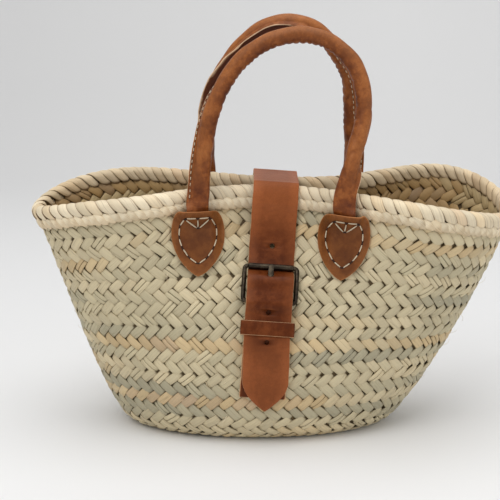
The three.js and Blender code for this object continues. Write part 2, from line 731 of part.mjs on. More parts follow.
// A strip that follows a curve in the strap's plane.
function strapAlong(curve, steps, width, leather) {
  const stations = Array.from({ length: steps + 1 }, (_, i) => {
    const share = i / steps;
    const thick = new THREE.Vector3().crossVectors(X_AXIS, curve.getTangentAt(share)).normalize();
    return {
      middle: curve.getPointAt(share),
      wide: X_AXIS.clone().multiplyScalar(width / 2),
      thick: thick.multiplyScalar(leather / 2),
    };
  });
  return strip(stations);
}

// The strap's way over one edge of the mouth, from the wall to the top of the roll.
const HALF_STRAP = STRAP_LEATHER / 2;

function overRim(side) {
  const beside = CORD_REACH + LIE + HALF_STRAP;
  const edge = offWall(side, strapRim(side), -WALL / 2);
  const crest = ROLL_HEIGHT / 2 + GAP + HALF_STRAP;
  const past = (outward, upward) => edge.clone().add(new THREE.Vector3(0, side * outward, upward));
  return [
    offWall(side, strapRim(side) + CORD_TOP - CORD_HEIGHT - 6, beside - 1),
    offWall(side, strapRim(side) + CORD_MIDDLE, beside + 0.6),
    past(ROLL_THICKNESS / 2 + LIE + HALF_STRAP + 1.4, 1),
    past(ROLL_THICKNESS / 2 - 0.6, crest),
    past(-2, crest + 0.2),
  ];
}

// The highest w of the wall's edge under the strap.
function strapRim(side) {
  const toStrap = closure.matrixWorld.clone().invert();
  const edge = [];
  const middle = STRAP_FOOT_X + RIM_HEIGHT * Math.tan(STRAP_TILT);
  for (let x = middle - STRAP_WIDTH * 0.75; x <= middle + STRAP_WIDTH * 0.75; x += 0.5) {
    const theta = side * Math.acos((x - SIDE_LEAN) / (MOUTH_LENGTH / 2));
    const { x: u, z: w } = wallPoint(theta, 1).applyMatrix4(toStrap);
    if (Math.abs(u) <= STRAP_WIDTH / 2) edge.push(w);
  }
  return Math.max(...edge);
}

// Cutters for holes square to the strap at a point of its curve.
function holeAt(curve, w, shape) {
  let low = 0;
  let high = 1;
  for (let i = 0; i < 40; i++) {
    const middle = (low + high) / 2;
    if (curve.getPointAt(middle).z > w) low = middle;
    else high = middle;
  }
  const ahead = curve.getTangentAt(low);
  const out = new THREE.Vector3().crossVectors(X_AXIS, ahead).normalize();
  const place = new THREE.Matrix4().makeBasis(X_AXIS, ahead, out).setPosition(curve.getPointAt(low));
  return shape.clone().applyMatrix4(place);
}

function roundHole() {
  const hole = new THREE.CylinderGeometry(HOLE_DIAMETER / 2, HOLE_DIAMETER / 2, 3 * STRAP_LEATHER, 14);
  return hole.rotateX(Math.PI / 2);
}

function slot(width, length, depth) {
  const r = width / 2;
  const reach = length / 2 - r;
  const outline = new THREE.Shape();
  outline.moveTo(r, -reach);
  outline.lineTo(r, reach);
  outline.absarc(0, reach, r, 0, Math.PI, false);
  outline.lineTo(-r, -reach);
  outline.absarc(0, -reach, r, Math.PI, 2 * Math.PI, false);
  const geometry = new THREE.ExtrudeGeometry(outline, { depth, bevelEnabled: false, curveSegments: 6 });
  return geometry.translate(0, 0, -depth / 2);
}

// The strap clears the prong's shank by its play, then dives through and under the roller.
const SHANK_ROOM = PRONG_THICKNESS / 2 + GAP + HALF_STRAP;
const FOLD = BAR_DIAMETER / 2 + GAP + ANCHOR_LEATHER / 2; // radius of the anchor strap's fold
const OVER_FOLD = ANCHOR_LEATHER / 2 + GAP + HALF_STRAP;
const shankAt = (up) => lerp(SHANK_LOW, SHANK_HIGH, up / BUCKLE_PITCH);
const overShank = (up) =>
  Math.max(FOLD + OVER_FOLD, shankAt(up) + SHANK_ROOM) + (up + 2) * Math.tan(PRONG_PLAY);

const flexPoint = offWall(FRONT, FLEX_HEIGHT, TAIL_LAYER);

// Height of the anchor strap's outer layer off the wall between the keeper's reach and the heel bar.
const KEEPER_REACH = KEEPER_HEIGHT + KEEPER_WIDTH / 2 + KEEPER_TRAVEL;

function outerLayer(w) {
  const rise = step((w - KEEPER_REACH) / (HEEL_HEIGHT - 1 - KEEPER_REACH));
  return offWall(FRONT, w, lerp(OUTER_LAYER, HEEL_CENTRE + FOLD, rise));
}

function overOuterLayer(w) {
  const rise = step((w - KEEPER_REACH) / (HEEL_HEIGHT - 1 - KEEPER_REACH));
  return offWall(FRONT, w, lerp(TAIL_LAYER, HEEL_CENTRE + FOLD + OVER_FOLD + 0.7, rise));
}

const climb = [0, 0.3, 0.6, 0.85].map((part) => lerp(KEEPER_REACH, HEEL_HEIGHT - 1, part));

function strapCurve() {
  const dive = ROLLER_DIAMETER / 2 + GAP + HALF_STRAP;
  const cross = shankAt(PRONG_HOLE);
  return curveThrough([
    offWall(BACK, STRAP_END_BACK, LIE + HALF_STRAP),
    offWall(BACK, STRAP_END_BACK + 16, LIE + HALF_STRAP + 0.4),
    offWall(BACK, STRAP_END_BACK + 32, LIE + HALF_STRAP + 1.6),
    ...overRim(BACK),
    ...overRim(FRONT).reverse(),
    offWall(FRONT, HEEL_HEIGHT + BUCKLE_PITCH + 20, THROUGH_LAYER + 1.2),
    inBuckle(BUCKLE_PITCH + 7, -dive - 0.3),
    inBuckle(BUCKLE_PITCH + 1, -dive - 0.1),
    inBuckle(BUCKLE_PITCH - 2.4, -dive + 0.5),
    inBuckle(PRONG_HOLE + 2.9, cross - 4),
    inBuckle(PRONG_HOLE, cross),
    inBuckle(PRONG_HOLE - 2.6, cross + 2.9),
    inBuckle(PRONG_HOLE - 6, overShank(PRONG_HOLE - 6) + 0.3),
    inBuckle(PRONG_HOLE - 14, overShank(PRONG_HOLE - 14)),
    inBuckle(2, overShank(2) + 0.3),
    ...climb.map(overOuterLayer).reverse(),
    offWall(FRONT, KEEPER_HEIGHT, TAIL_LAYER),
    flexPoint.clone(),
  ]);
}

function closingStrap() {
  const curve = strapCurve();
  const whole = strapAlong(curve, STRAP_STEPS, STRAP_WIDTH, STRAP_LEATHER);
  const end = curve.getTangentAt(1);
  const out = new THREE.Vector3().crossVectors(X_AXIS, end).normalize();
  const room = 6;
  const knuckle = new THREE.BoxGeometry(STRAP_WIDTH + 2, 2 * room, 2 * room);
  const stop = flexPoint.clone().addScaledVector(end, room - HALF_STRAP - GAP);
  knuckle.applyMatrix4(new THREE.Matrix4().makeBasis(X_AXIS, end, out).setPosition(stop));
  const prongSlot = slot(PRONG_WIDTH + 4 * GAP, PRONG_SLOT, 4 * STRAP_LEATHER);
  const front = frontPart(curve);
  return cut(whole, [
    knuckle,
    holeAt(front, HOLE_HEIGHTS[0], roundHole()),
    holeAt(front, inBuckle(PRONG_HOLE, shankAt(PRONG_HOLE)).z, prongSlot),
    holeAt(front, HOLE_HEIGHTS[1], roundHole()),
  ]);
}

// The stretch of the strap's curve that hangs in front of the bag, from the rim down.
function frontPart(curve) {
  return {
    getPointAt: (share) => curve.getPointAt(lerp(0.5, 1, share)),
    getTangentAt: (share) => curve.getTangentAt(lerp(0.5, 1, share)),
  };
}

// The free end bends about a line across the strap, and ends in a pointed arch.
function strapTip() {
  const below = offWall(FRONT, ANCHOR_FLAP - 30, LIE + ANCHOR_LEATHER + 2 * GAP + HALF_STRAP);
  const tail = below.clone().sub(flexPoint).normalize();
  const thick = new THREE.Vector3().crossVectors(X_AXIS, tail).normalize();
  const turned = tail.clone().applyAxisAngle(thick, -TAIL_TURN);
  const across = new THREE.Vector3().crossVectors(turned, thick).normalize();
  const length = (flexPoint.z - STRAP_TIP) / -turned.z;
  const knuckle = HALF_STRAP * 0.9;
  const whole = knuckle + length;
  const rounded = knuckle / whole;
  const pointed = TIP_LENGTH / whole;
  const shares = [0, rounded / 2, rounded, 0.3, 1 - pointed];
  const steps = 9;
  for (let i = 1; i <= steps; i++) shares.push(1 - pointed * (1 - i / (steps + 0.2)));
  const stations = shares.map((share) => {
    const along = Math.max(0, (share - 1 + pointed) / pointed);
    const width = STRAP_WIDTH * (1 - along ** POINT_POWER);
    const back = 0.9 * Math.max(0, 1 - share / rounded);
    return {
      middle: flexPoint.clone().addScaledVector(turned, share * whole - knuckle),
      wide: (share > rounded ? across : X_AXIS).clone().multiplyScalar(width / 2),
      thick: thick.clone().multiplyScalar(HALF_STRAP * Math.sqrt(1 - back ** 2)),
    };
  });
  const hole = roundHole();
  const lower = (FLEX_HEIGHT - HOLE_HEIGHTS[2]) / -turned.z;
  const place = new THREE.Matrix4().makeBasis(across, turned, thick);
  place.setPosition(flexPoint.clone().addScaledVector(turned, lower));
  return cut(strip(stations), [hole.applyMatrix4(place)]);
}

// The anchor strap: up the wall, round the heel bar, and down again in front of itself.
function anchorStrap() {
  const half = ANCHOR_LEATHER / 2;
  const points = [
    offWall(FRONT, ANCHOR_END, LIE + half),
    offWall(FRONT, ANCHOR_FLAP - ANCHOR_FREE, LIE + half),
    offWall(FRONT, ANCHOR_FLAP, LIE + half),
    offWall(FRONT, KEEPER_HEIGHT - KEEPER_WIDTH / 2 - 1, INNER_LAYER),
    offWall(FRONT, KEEPER_HEIGHT + KEEPER_WIDTH / 2, INNER_LAYER),
    inBuckle(-4, -FOLD),
  ];
  for (let i = 1; i <= 5; i++) {
    const turn = (Math.PI * i) / 6;
    points.push(inBuckle(FOLD * Math.sin(turn), -FOLD * Math.cos(turn)));
  }
  points.push(
    ...climb.map(outerLayer).reverse(),
    offWall(FRONT, KEEPER_HEIGHT - KEEPER_WIDTH / 2, OUTER_LAYER),
    offWall(FRONT, ANCHOR_FLAP + 5, LIE + 3 * half + GAP + 0.8),
    offWall(FRONT, ANCHOR_FLAP, LIE + 3 * half + GAP),
  );
  const whole = strapAlong(curveThrough(points), ANCHOR_STEPS, ANCHOR_WIDTH, ANCHOR_LEATHER);
  const opening = slot(PRONG_WIDTH + 8 * GAP, 4 * EYE_RADIUS, 4 * EYE_RADIUS);
  const across = new THREE.Vector3().crossVectors(buckleUp, buckleOut);
  const place = new THREE.Matrix4().makeBasis(across, buckleUp, buckleOut).setPosition(inBuckle(1, 0));
  return cut(whole, [opening.applyMatrix4(place)]);
}

// The keeper: a leather loop round both layers of the anchor strap and the tail of the closing strap.
function strapKeeper() {
  const low = LIE;
  const inside = LIE + KEEPER_LEATHER;
  const high = TAIL_LAYER + HALF_STRAP + 2 * GAP;
  const loop = (halfWidth, bottom, top, radius) => {
    const outline = new THREE.Shape();
    outline.moveTo(halfWidth, bottom + radius);
    outline.absarc(halfWidth - radius, top - radius, radius, 0, Math.PI / 2, false);
    outline.absarc(-halfWidth + radius, top - radius, radius, Math.PI / 2, Math.PI, false);
    outline.absarc(-halfWidth + radius, bottom + radius, radius, Math.PI, 1.5 * Math.PI, false);
    outline.absarc(halfWidth - radius, bottom + radius, radius, 1.5 * Math.PI, 2 * Math.PI, false);
    return outline;
  };
  const outer = loop(KEEPER_INNER / 2 + KEEPER_LEATHER, low, high + KEEPER_LEATHER, KEEPER_CORNER);
  outer.holes.push(loop(KEEPER_INNER / 2, inside, high, KEEPER_CORNER / 3));
  const geometry = new THREE.ExtrudeGeometry(outer, {
    depth: KEEPER_WIDTH,
    bevelEnabled: false,
    curveSegments: 4,
  });
  const bottom = offWall(FRONT, KEEPER_HEIGHT - KEEPER_WIDTH / 2, 0);
  const top = offWall(FRONT, KEEPER_HEIGHT + KEEPER_WIDTH / 2, 0);
  const up = top.clone().sub(bottom).normalize();
  const out = new THREE.Vector3().crossVectors(X_AXIS, up);
  const place = new THREE.Matrix4().makeBasis(X_AXIS.clone().negate(), out, up).setPosition(bottom);
  return movable(named("strap_keeper", geometry.applyMatrix4(place), leather), place);
}

// Assembly
const bag = new THREE.Group();
bag.name = "straw_market_bag";
bag.add(named("basket_body", basketBody(), straw));
bag.add(named("rim_roll", rimRoll(), paleStraw));
bag.add(named("rim_cord", rimCord(), paleStraw));

const HANDLES = [
  {
    name: "front",
    side: FRONT,
    legs: FRONT_LEG_X,
    way: FRONT_WAY,
    apexY: FRONT_APEX_Y,
    seam: [[0, 180], [0.05, 175], [0.22, 135], [0.35, 90], [0.85, 90], [0.96, 180], [1, 180]],
  },
  {
    name: "back",
    side: BACK,
    legs: BACK_LEG_X,
    way: BACK_WAY,
    apexY: BACK_APEX_Y,
    seam: [[0, -180], [0.12, -160], [0.3, -40], [0.6, -25], [0.8, -90], [1, -180]],
  },
];

for (const { name, side, legs, way, apexY, seam } of HANDLES) {
  const leans = TAB_LEANS.map((lean) => THREE.MathUtils.degToRad(-side * lean));
  const seats = legs.map((x, i) => new LegSeat(side, x, leans[i]));
  const handle = new Handle(seats, way, apexY, seam);
  seats.forEach((seat, i) => {
    const place = `${name}_${["left", "right"][i]}`;
    bag.add(named(`${place}_tab`, tab(seat), leather));
    bag.add(named(`${place}_leg_end`, legEnd(seat, handle.hinge), leather));
  });
  const group = new THREE.Group();
  group.name = `${name}_handle`;
  group.add(named(`${name}_handle_sleeve`, handle.sleeve(), leather));
  group.add(named(`${name}_handle_core`, handle.core(), rope));
  const turn = new THREE.Quaternion().setFromUnitVectors(X_AXIS, handle.hinge);
  const middle = handle.left.clone().lerp(handle.right, 0.5);
  bag.add(movable(group, new THREE.Matrix4().makeRotationFromQuaternion(turn).setPosition(middle)));
}

const onto = (point) => new THREE.Matrix4().setPosition(point);
closure.add(named("closing_strap", closingStrap(), leather));
closure.add(movable(named("strap_tip", strapTip(), leather), onto(flexPoint)));
closure.add(named("anchor_strap", anchorStrap(), leather));
closure.add(strapKeeper());
closure.add(named("buckle_frame", buckleFrame(), gunmetal));
closure.add(movable(named("buckle_roller", buckleRoller(), gunmetal), onto(inBuckle(BUCKLE_PITCH, 0))));
closure.add(movable(named("buckle_prong", prong(), gunmetal), onto(heel)));
bag.add(closure);

export default bag;
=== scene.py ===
"""Looks of the straw market bag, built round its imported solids.

Sizes are in millimetres, as a maker writes them, and every mesh is made in metres.
+X runs along the bag, -Y is its front, the side with the buckle, and +Z is up.
"""

from __future__ import annotations

import logging
import math
from dataclasses import dataclass, field
from enum import Enum, IntEnum
from typing import Callable, Optional, Sequence, Union

import bpy
import numpy as np
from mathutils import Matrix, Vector

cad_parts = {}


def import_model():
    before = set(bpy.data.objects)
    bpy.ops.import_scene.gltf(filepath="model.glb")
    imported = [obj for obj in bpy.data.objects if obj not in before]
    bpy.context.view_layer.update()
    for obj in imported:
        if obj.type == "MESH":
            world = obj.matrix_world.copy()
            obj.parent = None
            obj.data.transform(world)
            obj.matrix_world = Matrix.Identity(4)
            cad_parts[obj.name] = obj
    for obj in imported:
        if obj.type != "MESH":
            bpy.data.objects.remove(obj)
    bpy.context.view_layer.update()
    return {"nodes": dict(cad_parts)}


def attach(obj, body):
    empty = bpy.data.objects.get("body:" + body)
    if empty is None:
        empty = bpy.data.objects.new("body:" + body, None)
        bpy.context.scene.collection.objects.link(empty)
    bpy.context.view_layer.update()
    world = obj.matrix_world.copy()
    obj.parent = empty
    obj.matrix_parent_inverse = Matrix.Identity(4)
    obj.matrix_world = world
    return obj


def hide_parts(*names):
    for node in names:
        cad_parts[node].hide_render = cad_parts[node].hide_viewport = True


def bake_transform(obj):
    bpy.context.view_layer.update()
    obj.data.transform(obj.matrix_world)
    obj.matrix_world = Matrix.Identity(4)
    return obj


LOG = logging.getLogger("market_bag")
MM = 0.001
X_AXIS = np.array([1.0, 0.0, 0.0])
Y_AXIS = np.array([0.0, 1.0, 0.0])
FRONT, BACK = -1.0, 1.0
BAG = "bag"
WHITE = (1.0, 1.0, 1.0, 1.0)
VECTOR_SOCKET, FLOAT_SOCKET = "NodeSocketVector", "NodeSocketFloat"

Array = np.ndarray
Colour = tuple[float, float, float, float]
Screen = tuple[int, int, int]
Socket = bpy.types.NodeSocket
SocketValue = Union[Socket, float, Sequence[float], str]
Bend = Callable[[bpy.types.Object], None]


class Seed(IntEnum):
    """The numbers that fix what is random, one for each use."""

    OUTSIDE_RUNS = 11
    INSIDE_RUNS = 12
    BASE_RUNS = 13
    OUTSIDE_BRAID = 21
    INSIDE_BRAID = 22
    BASE_BRAID = 23
    WRAP_PLACES = 31
    WRAPS = 32
    CORD_PLACES = 33
    CORD = 34
    STITCHES = 41
    HOLES = 42
    FRONT_WRINKLES = 51
    BACK_WRINKLES = 52
    END_PLACES = 61
    ENDS = 62


# Numbers, directions and lines


def smooth(t: Array | float) -> Array:
    """Eases from 0 to 1 while t goes from 0 to 1."""
    t = np.clip(t, 0.0, 1.0)
    return t * t * (3.0 - 2.0 * t)


def mix(a: Array | float, b: Array | float, share: Array | float) -> Array:
    """The value that lies a share of the way from a to b."""
    return a + (b - a) * share


def hump(distance: Array | float, width: float) -> Array:
    """1 at no distance, falling away to 0 within about twice a width."""
    return np.exp(-((distance / width) ** 2))


def unit(vectors: Array) -> Array:
    """The same directions with a length of one."""
    return vectors / np.linalg.norm(vectors, axis=-1, keepdims=True)


def circle(count: int) -> Array:
    """Even angles all the way round."""
    return np.linspace(0, 2 * math.pi, count, endpoint=False)


def turned(a: Array, b: Array, angle: Array | float) -> tuple[Array, Array]:
    """Two coordinates turned by an angle."""
    c, s = np.cos(angle), np.sin(angle)
    return a * c - b * s, a * s + b * c


def marks_along(line: Array) -> Array:
    """How far along a line each of its points lies."""
    return np.concatenate([[0.0], np.cumsum(np.linalg.norm(np.diff(line, axis=0), axis=-1))])


def between(spots: Array, marks: Array, line: Array) -> Array:
    """Places on a line, at distances along it."""
    return np.stack([np.interp(spots, marks, line[:, i]) for i in range(line.shape[1])], -1)


def bezier(points: Sequence[Sequence[float]], steps: int) -> Array:
    """Samples a cubic curve, its end left out."""
    a, b, c, d = (np.asarray(p, float) for p in points)
    t = np.linspace(0, 1, steps, endpoint=False)[:, None]
    return a * (1 - t) ** 3 + 3 * b * t * (1 - t) ** 2 + 3 * c * t**2 * (1 - t) + d * t**3


def evenly(line: Array, count: int) -> Array:
    """The same line as evenly spaced points, its two ends among them."""
    marks = marks_along(line)
    return between(np.linspace(0, marks[-1], count), marks, line)


def colour(red: int, green: int, blue: int) -> Colour:
    """A screen colour, from 0 to 255, as the linear colour that a shader takes."""
    channels = [c / 255.0 for c in (red, green, blue)]
    linear = [c / 12.92 if c <= 0.04045 else ((c + 0.055) / 1.055) ** 2.4 for c in channels]
    return (linear[0], linear[1], linear[2], 1.0)


class Way:
    """A smooth line through points, measured along its length."""

    STEPS = 40
    SIGHT = 0.4

    def __init__(self, knots: Sequence[Sequence[float]]) -> None:
        """Samples the line.

        Args:
            knots: The points that it goes through, in order.
        """
        knots = np.asarray(knots, float)
        padded = np.vstack([2 * knots[0] - knots[1], knots, 2 * knots[-1] - knots[-2]])
        parts = [self._stretch(*padded[i : i + 4]) for i in range(len(knots) - 1)]
        self.samples = np.vstack([*parts, knots[-1:]])
        self.marks = marks_along(self.samples)
        self.length = float(self.marks[-1])

    def _stretch(self, before: Array, start: Array, end: Array, after: Array) -> Array:
        """Samples one stretch, from start up to end, as a centripetal curve."""
        gaps = [math.sqrt(np.linalg.norm(b - a)) for a, b in ((before, start), (start, end), (end, after))]
        first, middle, last = gaps
        lead = (start - before) / first - (end - before) / (first + middle) + (end - start) / middle
        lead = lead * middle
        trail = (end - start) / middle - (after - start) / (middle + last) + (after - end) / last
        trail = trail * middle
        t = np.linspace(0, 1, self.STEPS, endpoint=False)[:, None]
        bend = 3 * (end - start) - 2 * lead - trail
        close = 2 * (start - end) + lead + trail
        return start + lead * t + bend * t**2 + close * t**3

    def at(self, shares: Array) -> Array:
        """Points at shares of the length."""
        return between(np.asarray(shares, float) * self.length, self.marks, self.samples)

    def ahead(self, shares: Array) -> Array:
        """Directions of the line at shares of the length."""
        reach = self.SIGHT / self.length
        shares = np.asarray(shares, float)
        return unit(self.at(np.minimum(shares + reach, 1.0)) - self.at(np.maximum(shares - reach, 0.0)))


# Meshes


@dataclass
class Body:
    """A mesh in the making: points in millimetres, faces, and values on points and face corners."""

    points: Array
    faces: list[tuple[int, ...]]
    values: dict[str, Array] = field(default_factory=dict)
    uv: Optional[Array] = None

    def joined(self, other: Body) -> Body:
        """This body and another one as one mesh in two loose parts."""
        shift = len(self.points)
        faces = self.faces + [tuple(i + shift for i in face) for face in other.faces]
        values = {key: np.concatenate([self.values[key], other.values[key]]) for key in self.values}
        uv = None if self.uv is None else np.concatenate([self.uv, other.uv])
        return Body(np.concatenate([self.points, other.points]), faces, values, uv)

    def mapped(self, along: Array, side: Array, ends: Sequence[float] = (0, 1), middle: float = 0.5) -> Body:
        """Gives a lofted strip its UV map.

        Args:
            along: How far along the strip each point of its rings lies.
            side: How far across it each lies.
            ends: How far along the middles of its two ends lie.
            middle: How far across they lie.

        Returns:
            The same body.
        """
        self.uv = np.stack([np.append(along, ends), np.append(side, [middle, middle])], -1)
        return self

    def plain(self, run: float) -> Body:
        """Gives the body one even colour of leaf, by its place in the run of colours."""
        tone, fibres_per_mm = 0.5, 0.02
        self.values = {key: np.full(len(self.points), v) for key, v in (("run", run), ("tone", tone))}
        self.uv = self.points[:, [0, 2]] * fibres_per_mm
        return self

    def mesh(self, name: str) -> bpy.types.Mesh:
        """A smooth Blender mesh in metres.

        Args:
            name: The mesh's name.

        Returns:
            The mesh, with a point attribute for each value and a UV map if there is one.
        """
        mesh = bpy.data.meshes.new(name)
        mesh.from_pydata((self.points * MM).tolist(), [], self.faces)
        for key, value in self.values.items():
            kind, part = ("FLOAT_VECTOR", "vector") if value.ndim == 2 else ("FLOAT", "value")
            target = mesh.attributes.new(key, kind, "POINT").data
            target.foreach_set(part, value.ravel().astype(np.float32))
        if self.uv is not None:
            corners = np.zeros(len(mesh.loops), int)
            mesh.loops.foreach_get("vertex_index", corners)
            mesh.uv_layers.new(name="UVMap").data.foreach_set("uv", self.uv[corners].ravel())
        if self.faces:
            mesh.polygons.foreach_set("use_smooth", [True] * len(self.faces))
        mesh.update()
        return mesh


def signed_volume(points: Array, faces: list[tuple[int, ...]]) -> float:
    """Six times the volume inside the faces, negative if they point inwards."""
    total = 0.0
    for face in faces:
        a = points[face[0]]
        for i in range(1, len(face) - 1):
            total += float(np.dot(a, np.cross(points[face[i]], points[face[i + 1]])))
    return total


def loft(rings: Array, loop: bool = False, values: Optional[dict[str, Array]] = None) -> Body:
    """A closed skin through rings of equally many points, with its faces turned outwards.

    Args:
        rings: Points, ring by ring, as an array of rings, points and coordinates.
        loop: Whether the last ring joins the first one. Otherwise both ends get a fan.
        values: Values for each point of each ring, by name.

    Returns:
        The body.
    """
    total, count = rings.shape[:2]
    points = rings.reshape(-1, 3)
    flat = {key: value.reshape(-1) for key, value in (values or {}).items()}
    pairs = [(j, (j + 1) % count) for j in range(count)]
    faces: list[tuple[int, ...]] = []
    for i in range(total if loop else total - 1):
        low, high = i * count, ((i + 1) % total) * count
        faces += [(low + j, low + k, high + k, high + j) for j, k in pairs]
    if not loop:
        start, end = len(points), len(points) + 1
        last = (total - 1) * count
        points = np.concatenate([points, [rings[0].mean(0)], [rings[-1].mean(0)]])
        flat = {key: np.concatenate([v, [v[:count].mean()], [v[last:].mean()]]) for key, v in flat.items()}
        for j, k in pairs:
            faces += [(start, k, j), (end, last + j, last + k)]
    if signed_volume(points, faces) < 0:
        faces = [tuple(reversed(face)) for face in faces]
    return Body(points, faces, flat)


def stand(name: str, mesh: bpy.types.Mesh, material: Optional[bpy.types.Material] = None) -> bpy.types.Object:
    """Puts a mesh into the scene as an object at the origin.

    Args:
        name: The object's name.
        mesh: Its mesh, with its place in its points.
        material: Its finish, unless the mesh has one.

    Returns:
        The object.
    """
    if material is not None:
        mesh.materials.clear()
        mesh.materials.append(material)
    obj = bpy.data.objects.new(name, mesh)
    bpy.context.scene.collection.objects.link(obj)
    return obj


def bake(obj: bpy.types.Object) -> bpy.types.Mesh:
    """Keeps what its modifiers make of an object as its mesh, and removes them.

    Args:
        obj: The object.

    Returns:
        Its new mesh.
    """
    graph = bpy.context.evaluated_depsgraph_get()
    shaped = obj.evaluated_get(graph)
    mesh = bpy.data.meshes.new_from_object(shaped, preserve_all_data_layers=True, depsgraph=graph)
    obj.modifiers.clear()
    obj.data = mesh
    return mesh


def reshape(mesh: bpy.types.Mesh, move: Callable[[Array], Array]) -> None:
    """Moves the points of a mesh.

    Args:
        mesh: The mesh.
        move: Takes its points in millimetres and gives their new places.
    """
    flat = np.zeros(len(mesh.vertices) * 3)
    mesh.vertices.foreach_get("co", flat)
    mesh.vertices.foreach_set("co", (move(flat.reshape(-1, 3) / MM) * MM).ravel())
    mesh.update()


# The basket's wall


@dataclass
class Seat:
    """Places on a surface, with the directions along it, up it and out of it."""

    point: Array
    along: Array
    up: Array
    out: Array

    def at(self, outward: Array | float, upward: Array | float = 0.0) -> Array:
        """The place at a distance out of the surface and up it."""
        outward, upward = np.asarray(outward)[..., None], np.asarray(upward)[..., None]
        return self.point + self.out * outward + self.up * upward


@dataclass(frozen=True)
class Wall:
    """The outside of the basket, from its base to the edge of its mouth.

    The two tips raise an end of the mouth at the back and lower it in front: each is its height, where it
    begins on the way to the end, and its power. The rises and starts are shares of the height.
    """

    base_length: float = 190.0
    base_depth: float = 100.0
    belly_depth: float = 150.0
    mouth_length: float = 428.0
    mouth_depth: float = 192.0
    rim_height: float = 218.0
    thickness: float = 5.0
    pinched_depth: float = 41.0
    pinch_spread: tuple[float, float] = (96.0, 108.0)
    pinch_x: tuple[float, float] = (-10.0, 24.0)
    pinch_start: float = 0.33
    pinch_power: float = 2.3
    lobe_bias: float = 0.2
    lobe_start: float = 0.3
    end_droop: float = 20.0
    droop_power: float = 5.0
    rim_wave: float = 9.0
    wave_start: float = 0.2
    right_tip: tuple[float, float, float] = (16.0, 0.4, 2.0)
    left_tip: tuple[float, float, float] = (12.0, 0.36, 1.2)
    side_lean: float = 14.0
    back_lean: float = 6.0
    belly_rise: float = 0.055
    flare_power: float = 2.2
    heel_spread: float = 0.17
    heel_rise: float = 0.012
    flank_power: float = 0.74

    def half_length(self, v: Array) -> Array:
        """Half the length of the bag at a share v of the way up: a quick spread, then straight flanks."""
        quick = self.heel_spread * (1 - np.exp(-v / self.heel_rise))
        spread = quick + (1 - self.heel_spread) * v**self.flank_power
        return mix(self.base_length, self.mouth_length, spread) / 2

    @staticmethod
    def above(value: Array, start: float) -> Array:
        """Eases from 0 at a start to 1 at 1."""
        return smooth((value - start) / (1 - start))

    def lean(self, v: Array) -> Array:
        """How far the bag leans to its right at a share v of the way up."""
        return self.side_lean * np.sin(v * math.pi / 2)

    def point(self, theta: Array, v: Array) -> Array:
        """The wall at an angle theta round the bag from +X, a share v of the way up."""
        theta, v = np.broadcast_arrays(np.asarray(theta, float), np.asarray(v, float))
        c, s = np.cos(theta), np.sin(theta)
        belly = (self.belly_depth - self.base_depth) / 2 * (1 - np.exp(-v / self.belly_rise))
        flare = (self.mouth_depth - self.belly_depth) / 2 * v**self.flare_power
        half_depth = self.base_depth / 2 + belly + flare
        pinch_x = mix(*self.pinch_x, (1 + s) / 2)
        spread = mix(*self.pinch_spread, (1 + s) / 2)
        from_strap = np.abs(c * self.mouth_length / 2 - pinch_x) / spread
        drawn = self.above(v, self.pinch_start) * np.exp(-(from_strap**self.pinch_power))
        pinch = 1 - (1 - self.pinched_depth / self.mouth_depth) * drawn
        lobes = 1 + self.lobe_bias * self.above(v, self.lobe_start) * c
        tip = self.rim_wave * self.above(c, self.wave_start)
        for way, (most, start, power) in ((1, self.right_tip), (-1, self.left_tip)):
            tip = tip + most * np.clip((way * c - start) / (1 - start), 0, 1) ** power
        wave = tip * s * smooth(v)
        height = self.rim_height - self.end_droop * np.abs(c) ** self.droop_power + wave
        x = self.half_length(v) * c + self.lean(v)
        y = half_depth * s * pinch * lobes + self.back_lean * v
        return np.stack([x, y, height * v], -1)

    def seat(self, theta: Array, v: Array) -> Seat:
        """Places on the wall with their directions."""
        d, foot = 1e-4, 1e-5
        theta, v = np.broadcast_arrays(np.asarray(theta, float), np.asarray(v, float))
        held = np.maximum(v, d)
        along = unit(self.point(theta + d, held) - self.point(theta - d, held))
        rise = unit(self.point(theta, v + d) - self.point(theta, np.maximum(v - d, foot)))
        out = unit(np.cross(along, rise))
        return Seat(self.point(theta, v), along, np.cross(out, along), out)

    def side_seat(self, side: float, x: Array, z: Array) -> Seat:
        """Places on one long side at a given x and z.

        Args:
            side: -1 for the front and 1 for the back.
            x: Where along the bag.
            z: How high.

        Returns:
            The places with their directions.
        """
        x, z = np.broadcast_arrays(np.asarray(x, float), np.asarray(z, float))
        v = z / self.rim_height
        theta = np.full(x.shape, side * math.pi / 2)
        for _ in range(12):
            theta = side * np.arccos(np.clip((x - self.lean(v)) / self.half_length(v), -1, 1))
            v = v * z / self.point(theta, v)[..., 2]
        return self.seat(theta, v)

    def below_edge(self, theta: Array, distance: Array | float) -> Seat:
        """Places on the wall at a distance below its edge."""
        piece = 0.02
        length = np.linalg.norm(self.point(theta, 1.0) - self.point(theta, 1 - piece), axis=-1)
        return self.seat(theta, 1 - piece * distance / length)

    def edge_angle(self, side: float, x: Array | float) -> Array:
        """The angle round the bag of the edge at a given x on one long side."""
        return side * np.arccos((x - self.side_lean) / (self.mouth_length / 2))

    def round_at(self, v: float, shares: Array) -> tuple[Array, float]:
        """Angles at shares of the way round the wall at one height, from the middle of the back.

        Args:
            v: The share of the way up.
            shares: Shares of the way round.

        Returns:
            The angles, and the length of the way round.
        """
        theta = np.linspace(0, 2 * math.pi, 1441) + math.pi / 2
        marks = marks_along(self.point(theta, v))
        return np.interp((shares % 1.0) * marks[-1], marks, theta), float(marks[-1])

    def length_round(self, v: float) -> float:
        """The length of the way round the wall at one height."""
        return self.round_at(v, np.zeros(1))[1]


# Repeated pieces, laid by geometry nodes


